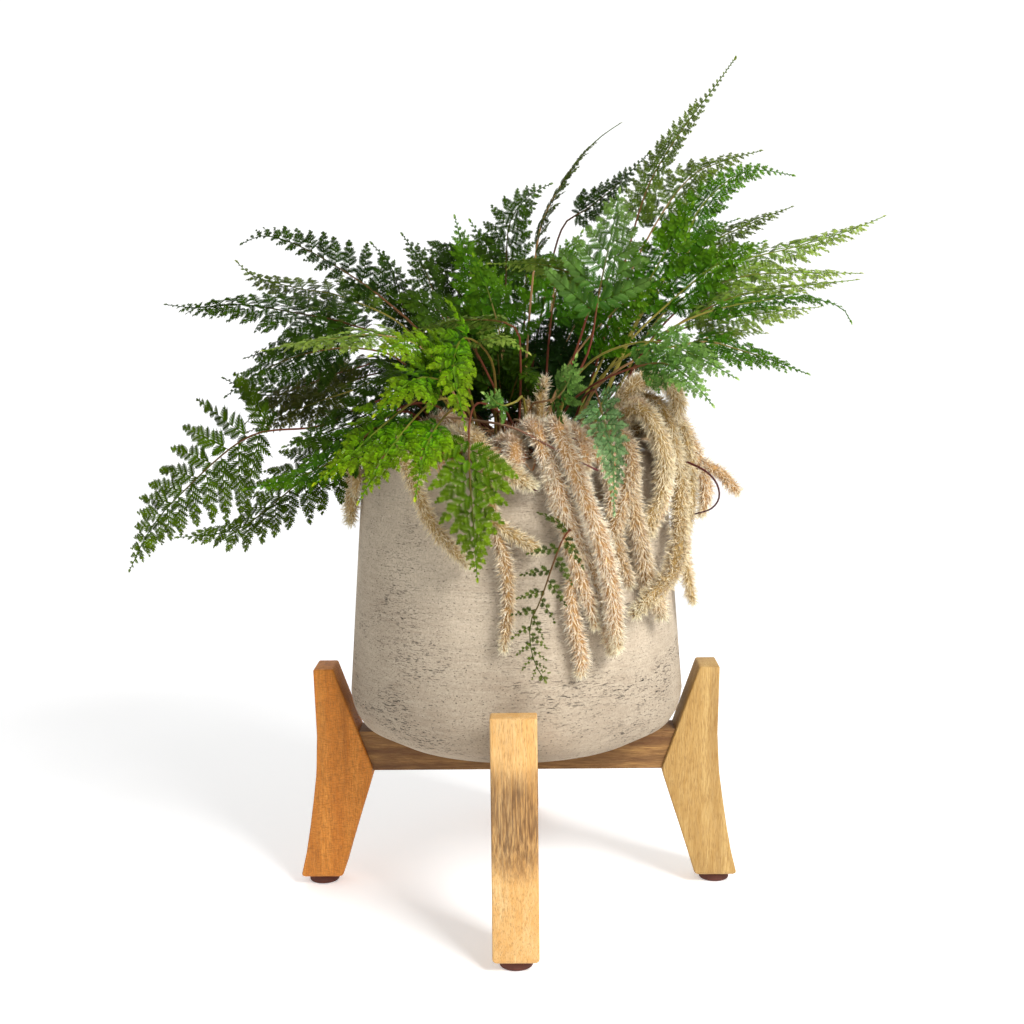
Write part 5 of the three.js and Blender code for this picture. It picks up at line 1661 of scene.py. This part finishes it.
@dataclass
class Foliage:
    """The fronds: ribs, pinnae and leaflets, in one piece for each spray."""

    sprays: tuple[Spray, ...]
    soil: Soil
    foot_depth: float = 12
    root_spread: float = 0.9
    above_soil: float = 3
    rib_root: float = 1.15
    rib_middle: float = 0.75
    rib_tip: float = 0.3
    usual_stem: float = 1.3
    crowding: float = 1.6
    least_gap: float = 4.5
    gap_by_width: float = 0.26
    pair_shift: float = 0.45
    arch: float = 0.16
    lean: float = 24
    tip_lean: float = 26
    plain_below: float = 6.5
    reach_by_gap: Pair = (0.74, 1.6)
    reach_by_length: Pair = (0.46, 1.2)
    leaflet_step: tuple[float, float, float] = (2.3, 0.3, 0.86)
    leaflet_least: float = 2.1
    leaflet_lean: Pair = (56, 20)
    cut_above: float = 7.5
    fine_above: float = 3.8
    vein: Pair = (0.42, 0.15)
    vein_colour: str = "4a3418"
    frond_tone: Pair = (0.86, 1.14)
    pinna_tone: Pair = (0.85, 1.15)
    leaflet_tone: Pair = (0.62, 1.36)
    uneven: Pair = (0.96, 1.14)
    stem_colours: dict[Leaf, tuple[str, ...]] = field(default_factory=lambda: {
        Leaf.BRIGHT: ("8a7a3a", "6d5a2a"),
        Leaf.DARK: ("4a2c1c", "6d4a2e"),
    })
    other_stems: tuple[str, ...] = ("aa825a", "8c823c", "6a3a2a")
    patterns: dict[str, Pattern] = field(default_factory=dict)

    def build(self) -> None:
        """Models the leaflets once, then grows every spray."""
        shapes = (
            LeafletShape("cut_leaflet", (0.26, 0.27, 0.23, 0.17, 0.1), vein=0.045, blunt=0.6),
            LeafletShape("fine_leaflet", (0.29, 0.26, 0.17), vein=0.06, blunt=0.7),
            LeafletShape("small_leaflet", (0.27, 0.18), vein=0.09, blunt=0.7),
        )
        self.patterns = {shape.name: shape.pattern() for shape in shapes}
        finish = Tinted("fern_leaf", 0.55, 0.5, 160, gloss=0.06).material()
        total = 0
        for number, spray in enumerate(self.sprays):
            rng = np.random.default_rng(SEED + 17 * number)
            sheaf = Sheaf()
            for frond in spray.fronds:
                self._grow(sheaf, spray, frond, rng)
            made = sheaf.build(f"leafy_{spray.name}", smooth=False)
            dress(made, finish, spray.leaf.slot, *known(spray.name))
            total += sheaf.triangles()
            LOG.info("%s: %d triangles", made.name, sheaf.triangles())
        LOG.info("foliage: %d triangles", total)

    def _grow(self, sheaf: Sheaf, spray: Spray, frond: Frond, rng: Generator) -> None:
        """Adds one frond, from the spray's hole in the soil or from its starting point."""
        if spray.start:
            start = np.array(spray.start, float)
        else:
            x, y = np.array(spray.base) + rng.uniform(-self.root_spread, self.root_spread, 2)
            start = np.array([x, y, self.soil.top(math.hypot(x, y)) + self.above_soil])
        growth = Growth(sheaf, frond, frond.leaf or spray.leaf, Spline([start, *frond.route]), rng)
        self._add_rib(growth, None if spray.start else start - (0, 0, self.foot_depth))
        self._add_blade(growth)

    def _add_rib(self, growth: Growth, foot: Array | None) -> None:
        """Adds the rib.

        Args:
            growth: The frond.
            foot: The rib's foot in the soil, if it has one.
        """
        curve, bare, rng = growth.curve, growth.bare, growth.rng
        shares = np.linspace(0, 1, max(12, round(curve.length / 9)))
        centres, along = curve.at(shares), curve.along(shares)
        if foot is not None:
            centres = np.vstack([foot, centres])
            along = np.vstack([[0, 0, 1], along])
            shares = np.concatenate([[0], shares])
        root = self.rib_root * growth.frond.stem / self.usual_stem
        radii = np.interp(shares, [0, bare, 1], [root, self.rib_middle, self.rib_tip])
        choices = self.stem_colours.get(growth.leaf, self.other_stems)
        stem = linear(choices[rng.integers(0, len(choices))])
        blade, edge, _ = growth.leaf.colours
        green_from = bare * 0.9
        green = np.clip((shares - green_from) / max(1 - green_from, 0.1) * 1.3, 0, 1)[:, None]
        tints = stem * (1 - green) + (blade + edge) * 0.5 * green
        growth.sheaf.add_tube(centres, *growth.axes(along), radii, tints, 5)

    def _add_blade(self, growth: Growth) -> None:
        """Adds the pinnae of one frond, alternately right and left, and the leaflet at its tip.

        Args:
            growth: The frond.
        """
        frond, rng = growth.frond, growth.rng
        first_gap = (self.least_gap + self.gap_by_width * frond.width) / frond.full
        pairs = max(6, round(frond.blade * self.crowding / first_gap))
        tone = rng.uniform(*self.frond_tone)
        for pair in range(pairs):
            for sign, scale, shift in ((1, frond.sides[1], 0.0), (-1, frond.sides[0], self.pair_shift)):
                part = (pair + shift) / (pairs + 0.5)
                left = (1 - part) ** self.crowding
                length = frond.width * scale * left**frond.taper * rng.uniform(*self.uneven)
                gap = first_gap * (1 - part) ** (self.crowding - 1)
                shade = tone * rng.uniform(*self.pinna_tone)
                self._add_pinna(growth, self._pinna(growth, 1 - left, sign, max(length, 1.8), gap, shade))
        along = growth.curve.along(0.99)
        frames = frames_of(growth.axes(along)[0], along)
        tints = growth.leaf.colours[2][None, None] * tone
        pattern = self.patterns["fine_leaflet"]
        growth.sheaf.add_copies(pattern, growth.curve.at(0.99), frames, np.array([[3.0, 5.0, 5.0]]), tints)

    def _pinna(self, growth: Growth, part: float, sign: int, length: float, gap: float, tone: float) -> Pinna:
        """Places one pinna on the rib.

        Args:
            growth: The frond.
            part: The share of the leafy length below it.
            sign: 1 for the right side, -1 for the left.
            length: The pinna's length.
            gap: How far the next pinna on its side is.
            tone: Its lightness.

        Returns:
            The pinna.
        """
        rng = growth.rng
        place = growth.bare + (1 - growth.bare) * part
        along = growth.curve.along(place)
        side, up = (axis[0] for axis in growth.axes(along))
        along = along[0]
        lean = math.radians(self.lean + self.tip_lean * part + rng.uniform(-4, 4))
        out = side * sign
        up = unit(up + out * rng.normal(0, 0.12) + along * rng.normal(0, 0.12))
        heading = out * math.cos(lean) + along * math.sin(lean)
        arch, hook = self.arch * rng.uniform(0.6, 1.5), rng.uniform(0.02, 0.12)
        return Pinna(growth.curve.at(place)[0], heading, up, along, length, arch, hook, gap, part, tone)

    def _add_pinna(self, growth: Growth, pinna: Pinna) -> None:
        """Adds one pinna: its vein, its leaflets and its tip, or one leaflet for a very small pinna."""
        if pinna.length < self.plain_below:
            self._add_end(growth, pinna, 0.08, pinna.length * 0.95)
            return
        radii = np.linspace(*self.vein, 5) * min(1, 0.4 + pinna.length / 40)
        colour = growth.leaf.colours[0] * 0.6 + linear(self.vein_colour) * 0.3
        growth.sheaf.add_wire(pinna.at(np.linspace(0, 1, 5)), pinna.up, radii, colour)
        self._add_leaflets(growth, pinna)
        self._add_end(growth, pinna, 0.94, 0.03 * pinna.length + 2.2)

    def _add_leaflets(self, growth: Growth, pinna: Pinna) -> None:
        """Adds the leaflets on both sides of a pinna's vein.

        Args:
            growth: The frond.
            pinna: The pinna.
        """
        rng, full, length = growth.rng, growth.frond.full, pinna.length
        by_gap, more = self.reach_by_gap
        by_length, most = self.reach_by_length
        half = min(by_gap * pinna.gap + more, by_length * length + most) * full
        least, by_half, apart = self.leaflet_step
        count = max(2, round(length * 1.1 / (max(least, by_half * half + apart) / full)))
        index = np.repeat(np.arange(count), 2)
        wing = np.tile([1.0, -1.0], count)
        reach = 1 - (1 - (index + 0.45 + 0.22 * wing) / (count + 0.35)) ** 1.2
        reach = np.clip(reach + rng.normal(0, 0.12, len(reach)) / count, 0.02, 0.97)
        size = half * (1 - reach) ** 0.55 * (0.8 + 0.2 * np.minimum(1, reach / 0.12)) * 1.06
        size = np.maximum(size, self.leaflet_least) * rng.uniform(0.88, 1.1, len(reach))
        tangent = unit(pinna.at(reach + 0.01) - pinna.at(reach - 0.01))
        across = unit(np.cross(tangent, pinna.up)) * wing[:, None]
        normal = np.cross(across * wing[:, None], tangent)
        lean, less = self.leaflet_lean
        angle = np.radians(lean - less * reach)[:, None] + rng.normal(0, 0.09, (len(reach), 1))
        lift = normal * rng.normal(0, 0.16, (len(reach), 1))
        forward = unit(across * np.sin(angle) + tangent * np.cos(angle) + lift)
        normal = unit(normal + across * rng.normal(0, 0.22, (len(reach), 1)))
        frames = frames_of(unit(np.cross(forward, normal)), forward)
        breadth = np.minimum(size * 1.15, length / count * 2.0 * full)
        sizes = np.stack([breadth, size, size], axis=1)
        small = np.where(size > self.fine_above, "fine_leaflet", "small_leaflet")
        kinds = np.where(size > self.cut_above, "cut_leaflet", small)
        for kind, pattern in self.patterns.items():
            chosen = kinds == kind
            tints = self._tints(growth, pinna, pattern, reach[chosen])
            growth.sheaf.add_copies(pattern, pinna.at(reach[chosen]), frames[chosen], sizes[chosen], tints)

    def _add_end(self, growth: Growth, pinna: Pinna, place: float, size: float) -> None:
        """Adds one leaflet on a pinna's line."""
        pattern = self.patterns["fine_leaflet"]
        reach = np.array([place])
        tangent = unit(pinna.at(reach + 0.05) - pinna.at(reach))
        frames = frames_of(unit(np.cross(tangent, pinna.up)), tangent)
        tints = self._tints(growth, pinna, pattern, reach)
        sizes = np.array([[size * 0.85, size, size]])
        growth.sheaf.add_copies(pattern, pinna.at(reach), frames, sizes, tints)

    def _tints(self, growth: Growth, pinna: Pinna, pattern: Pattern, reach: Array) -> Array:
        """Leaflet colours: darker in the middle, paler at the edge and towards the tips.

        Args:
            growth: The frond.
            pinna: The pinna.
            pattern: The leaflet that is copied.
            reach: (k,) where the leaflets stand along the vein.

        Returns:
            (k, n, 3) linear colours.
        """
        blade, edge, tip = growth.leaf.colours
        rim = (pattern.edge**2 * 0.9)[None, :, None]
        young = (0.25 * reach + 0.35 * pinna.part**2)[:, None, None]
        body = blade * (1 - rim) + edge * rim
        body = body * (1 - young) + tip * young
        return body * pinna.tone * growth.rng.uniform(*self.leaflet_tone, (len(reach), 1, 1))


@dataclass(frozen=True)
class Creeper:
    """Rhizomes that creep over the rim side by side: where, how far down each hangs, and their hair."""

    name: str
    angle: float
    drops: tuple[float, ...]
    fur: Fur


@dataclass
class Back:
    """What the front view hides: a fan of fronds and the rhizomes over the rim."""

    planter: Planter
    soil: Soil
    each: int = 3
    start: float = 38
    end: float = 128
    base_radius: float = 53
    width: float = 34
    names: tuple[tuple[str, Leaf], ...] = (
        ("frond_back_right", Leaf.DARK),
        ("frond_back_middle", Leaf.MID),
        ("frond_back_left", Leaf.DARK),
    )
    coat: float = 0.66
    creepers: tuple[Creeper, ...] = (
        Creeper("rhizome_back_right", 28, (95, 60), Fur.TAN),
        Creeper("rhizome_back_middle", 84, (120, 70), Fur.RUST),
        Creeper("rhizome_back_left", 136, (85, 50), Fur.TAN),
        Creeper("rhizome_side_left", 186, (65, 40), Fur.CREAM),
    )

    def _angle(self, index: float) -> float:
        """The fan's angle in degrees at a frond."""
        return self.start + (self.end - self.start) * index / (len(self.names) * self.each - 1)

    def _frond(self, index: int) -> Frond:
        """One frond of the fan, with its own reach, rise and droop."""
        angle, crown = self._angle(index), self.soil.crown_z
        span = 160 + 26 * math.sin(2.4 * index) - self.base_radius
        top = crown + 103 + 43 * math.sin(1.9 * index + 1)
        drop = 30 + 25 * math.sin(2.1 * index + math.pi / 2)
        places = ((0.25, (crown + top) / 2), (0.55, top), (0.8, top - 0.3 * drop), (1, top - drop))
        route = tuple(turned_point(self.base_radius + span * share, angle, z) for share, z in places)
        x, y, _ = turned_point(0.25, angle, 0)
        return Frond(0.62 * span + 15, self.width, (x, y, 1), route)

    def sprays(self) -> tuple[Spray, ...]:
        """The fan's sprays."""
        made = []
        for node, (name, leaf) in enumerate(self.names):
            first = node * self.each
            x, y, _ = turned_point(self.base_radius, self._angle(first + (self.each - 1) / 2), 0)
            made.append(Spray(name, leaf, (x, y), tuple(self._frond(first + i) for i in range(self.each))))
        return tuple(made)

    def _route(self, angle: float, drop: float, radius: float) -> tuple[Point, ...]:
        """The way out of the soil, over the rim and down the wall."""
        off = radius + 2
        over = self.planter.top + off
        edge = self.soil.edge_z + 3
        inside = ((70, -5, edge), (88, -3, over), (105, -1, over + 6), (120, 1, over + 4))
        falls = ((2, over - 15), (7, over - drop * 0.6), (5, over - drop))
        outside = tuple((self.planter.radius_at(z) + off, turn, z) for turn, z in falls)
        return tuple(turned_point(reach, angle + turn, z) for reach, turn, z in inside + outside)

    def bunches(self) -> tuple[Bunch, ...]:
        """The rhizomes at the back and the left side."""
        made = []
        for creeper in self.creepers:
            branches = []
            for i, drop in enumerate(creeper.drops):
                branches.append(Branch(6 - i, self._route(creeper.angle + 5 * i, drop, 6 - i)))
            made.append(Bunch(creeper.name, creeper.fur, tuple(branches), self.coat))
        return tuple(made)


@dataclass(frozen=True)
class Runner:
    """A bare wiry stem: its two colours, its radius and its route."""

    start: str
    end: str
    radius: float
    route: tuple[Point, ...]


@dataclass
class Runners:
    """The bare stems that trail over the crown and past the planter's right side."""

    stems: tuple[Runner, ...] = (
        Runner("a98a68", "6a3434", 1.1, ((-58, -66, 384), (-31, -93, 383), (-2, -116, 379), (22, -130, 368),
            (43, -134, 357), (59, -132, 349))),
        Runner("a98a68", "7a4a3c", 1.0, ((1, -70, 381), (23, -98, 379), (44, -124, 370))),
        Runner("5e2026", "4c1a20", 1.1, ((-34, -104, 364), (-26, -126, 352), (-10, -130, 344),
            (4, -130, 338), (17, -130, 335))),
        Runner("5a2a26", "3c1a18", 1.0, ((118, -48, 352), (134, -55, 345), (145, -60, 339), (152, -63, 330),
            (153, -65, 320), (147, -65, 312), (135, -63, 308))),
    )

    def build(self) -> None:
        """Builds the stems as one piece."""
        sheaf = Sheaf()
        for stem in self.stems:
            curve = Spline(stem.route)
            shares = np.linspace(0, 1, 24)
            along = curve.along(shares)
            sides, ups = carried(along)
            first, last = linear(stem.start), linear(stem.end)
            tints = first + (last - first) * shares[:, None]
            radii = stem.radius * (1 - 0.45 * shares)
            sheaf.add_tube(curve.at(shares), sides, ups, radii, tints, 7)
        made = sheaf.build("bare_runners")
        dress(made, Tinted("wiry_stem", 0.5, 0.4, 400).material(), "fur_rust")
        LOG.info("runners: %d stems", len(self.stems))


@dataclass(frozen=True)
class Zone:
    """A part of the crown that short fronds fill: angles, reaches and rises are (least, most)."""

    name: str
    leaf: Leaf
    sprays: int
    angles: Pair
    reaches: Pair
    rises: Pair

    @property
    def spread(self) -> float:
        """How far a frond turns to either side of its spray's middle, in degrees."""
        longest = self.reaches[1]
        return 2000 / longest + 44 if longest < 100 else 16


@dataclass
class Undergrowth:
    """Short crowded fronds that darken the plant's middle; most use Leaf.DEEP, which is painted shade."""

    soil: Soil
    each: int = 3
    base_radius: Pair = (12, 44)
    width: Pair = (24, 36)
    droop: Pair = (2, 22)
    zones: tuple[Zone, ...] = (
        # Zones with Leaf.DEEP carry painted shade.
        Zone("undergrowth_back", Leaf.DEEP, 3, (20, 160), (28, 78), (34, 96)),
        Zone("undergrowth_low", Leaf.DEEP, 2, (70, 140), (52, 92), (10, 26)),
        Zone("undergrowth_left", Leaf.DEEP, 2, (150, 215), (28, 78), (22, 60)),
        Zone("undergrowth_far_left", Leaf.DARK, 2, (166, 206), (96, 132), (30, 72)),
        Zone("undergrowth_front", Leaf.DARK, 2, (185, 262), (34, 66), (46, 92)),
        Zone("undergrowth_right", Leaf.DEEP, 2, (-35, 35), (28, 78), (26, 74)),
    )

    def sprays(self) -> tuple[Spray, ...]:
        """The zones' sprays, each spread round its own base."""
        rng = np.random.default_rng(SEED + 7)
        made = []
        for zone in self.zones:
            first, last = zone.angles
            for number in range(zone.sprays):
                middle = first + (last - first) * (number + 0.5) / zone.sprays
                x, y, _ = turned_point(rng.uniform(*self.base_radius), middle + rng.uniform(-12, 12), 0)
                fronds = tuple(self._frond(rng, zone, x, y, middle) for _ in range(self.each))
                made.append(Spray(f"{zone.name}_{number + 1}", zone.leaf, (x, y), fronds))
        return tuple(made)

    def _frond(self, rng: Generator, zone: Zone, x: float, y: float, middle: float) -> Frond:
        """One short frond that leans away from the crown.

        Args:
            rng: The random draws.
            zone: The part of the crown it fills.
            x: Its base's place to the right, in millimetres.
            y: Its base's place to the back.
            middle: The angle that its spray faces, in degrees.

        Returns:
            The frond.
        """
        heading = math.radians(middle + rng.uniform(-zone.spread, zone.spread))
        reach, rise = rng.uniform(*zone.reaches), rng.uniform(*zone.rises)
        crown = self.soil.crown_z
        top = crown + rise
        places = ((0.25, crown + 0.55 * rise), (0.6, top), (1, top - rng.uniform(*self.droop)))
        ahead = (math.cos(heading), math.sin(heading))
        route = tuple((x + ahead[0] * reach * share, y + ahead[1] * reach * share, z) for share, z in places)
        face = (0.35 * ahead[0], 0.35 * ahead[1] - rng.uniform(0.2, 0.9), 0.8)
        return Frond(0.72 * (reach + 0.8 * rise), rng.uniform(*self.width), face, route)


@dataclass
class Studio:
    """Pale floor and backdrop, soft lights and the fitted camera."""

    camera_place: Point = (0.3, -1116.6, 451.5)
    pitch: float = 7.58
    yaw: float = -0.11
    roll: float = -0.72
    focal_pixels: float = 1417.6
    frame_pixels: float = 1024
    sensor: float = 36

    def build(self) -> None:
        """Adds the stage, the lights and the camera."""
        bpy.context.scene.view_settings.view_transform = "Standard"
        self._floor()
        self._lights()
        self._camera()
        LOG.info("studio: floor, lights and camera")

    def _floor(self) -> None:
        """A wide pale sheet."""
        Bench.clear()
        bpy.ops.mesh.primitive_plane_add(size=4, location=(0, -1.1, -0.0005))
        floor = bpy.context.object
        floor.name = "studio_floor"
        bpy.ops.object.transform_apply(location=True)
        white = (0.95, 0.95, 0.95, 1)
        glow = {"Emission_Color": white, "Emission_Strength": 0.4}
        floor.data.materials.append(Shading("pale_floor", Roughness=0.9, Base_Color=white, **glow).material)

    def _lights(self) -> None:
        """A pale surround, a key from the right, a fill from the left and a light from behind."""
        self._air()
        lamps = (
            ("key", (1.1, -1.3, 1.5), 0.8, 54),
            ("fill", (-1.5, -1.2, 0.7), 1.4, 2),
            ("rear", (-0.3, 1.5, 1.6), 1.4, 10),
        )
        for name, place, size, power in lamps:
            lamp = bpy.data.lights.new(f"{name}_light", "AREA")
            lamp.size = size
            lamp.energy = power
            made = bpy.data.objects.new(f"{name}_light", lamp)
            made.location = place
            aim = Vector((0, 0, 0.35)) - Vector(place)
            made.rotation_euler = aim.to_track_quat("-Z", "Y").to_euler()
            bpy.context.collection.objects.link(made)

    @staticmethod
    def _air() -> None:
        """A surround that is white behind the plant and dim elsewhere."""
        world = bpy.data.worlds.new("studio_air")
        world.use_nodes = True
        tree = world.node_tree
        here = tree.nodes.new("ShaderNodeTexCoord")
        toward = tree.nodes.new("ShaderNodeVectorMath")
        toward.operation = "DOT_PRODUCT"
        toward.inputs[1].default_value = (0, 1, 0)
        dim = tree.nodes.new("ShaderNodeMapRange")
        for name, value in (("From Min", 0.7), ("From Max", 0.87), ("To Min", 0.32), ("To Max", 1.1)):
            dim.inputs[name].default_value = value
        air = tree.nodes["Background"]
        air.inputs["Color"].default_value = (1, 1, 1, 1)
        tree.links.new(here.outputs["Generated"], toward.inputs[0])
        tree.links.new(toward.outputs["Value"], dim.inputs["Value"])
        tree.links.new(dim.outputs["Result"], air.inputs["Strength"])
        bpy.context.scene.world = world

    def _camera(self) -> None:
        """The camera fitted to the photograph."""
        pitch, yaw, roll = (math.radians(a) for a in (self.pitch, self.yaw, self.roll))
        ahead = Vector((math.sin(yaw) * math.cos(pitch), math.cos(yaw) * math.cos(pitch), -math.sin(pitch)))
        level = Vector((math.cos(yaw), -math.sin(yaw), 0))
        above = level.cross(ahead)
        right = level * math.cos(roll) + above * math.sin(roll)
        up = above * math.cos(roll) - level * math.sin(roll)
        data = bpy.data.cameras.new("photo_camera")
        data.sensor_width = self.sensor
        data.lens = self.focal_pixels / self.frame_pixels * self.sensor
        data.clip_start = 0.05
        camera = bpy.data.objects.new("photo_camera", data)
        turn = Matrix((right, up, -ahead)).transposed().to_4x4()
        camera.matrix_world = Matrix.Translation(Vector(self.camera_place) * MM) @ turn
        bpy.context.collection.objects.link(camera)
        bpy.context.scene.camera = camera


def main() -> None:
    """Builds the studio, then every sub-assembly in order."""
    logging.basicConfig(level=logging.INFO, format="%(name)s: %(message)s")
    Studio().build()
    Stand().build()
    planter = Planter()
    planter.build()
    pot = NurseryPot()
    pot.build()
    soil = Soil(pot)
    soil.build()
    back = Back(planter, soil)
    Rhizomes(BUNCHES + back.bunches() + CROWN).build()
    Runners().build()
    Foliage(SPRAYS + back.sprays() + (SPRIG,) + Undergrowth(soil).sprays() + SHOULDERS, soil).build()
    bpy.context.view_layer.update()


if __name__ == "__main__":
    main()
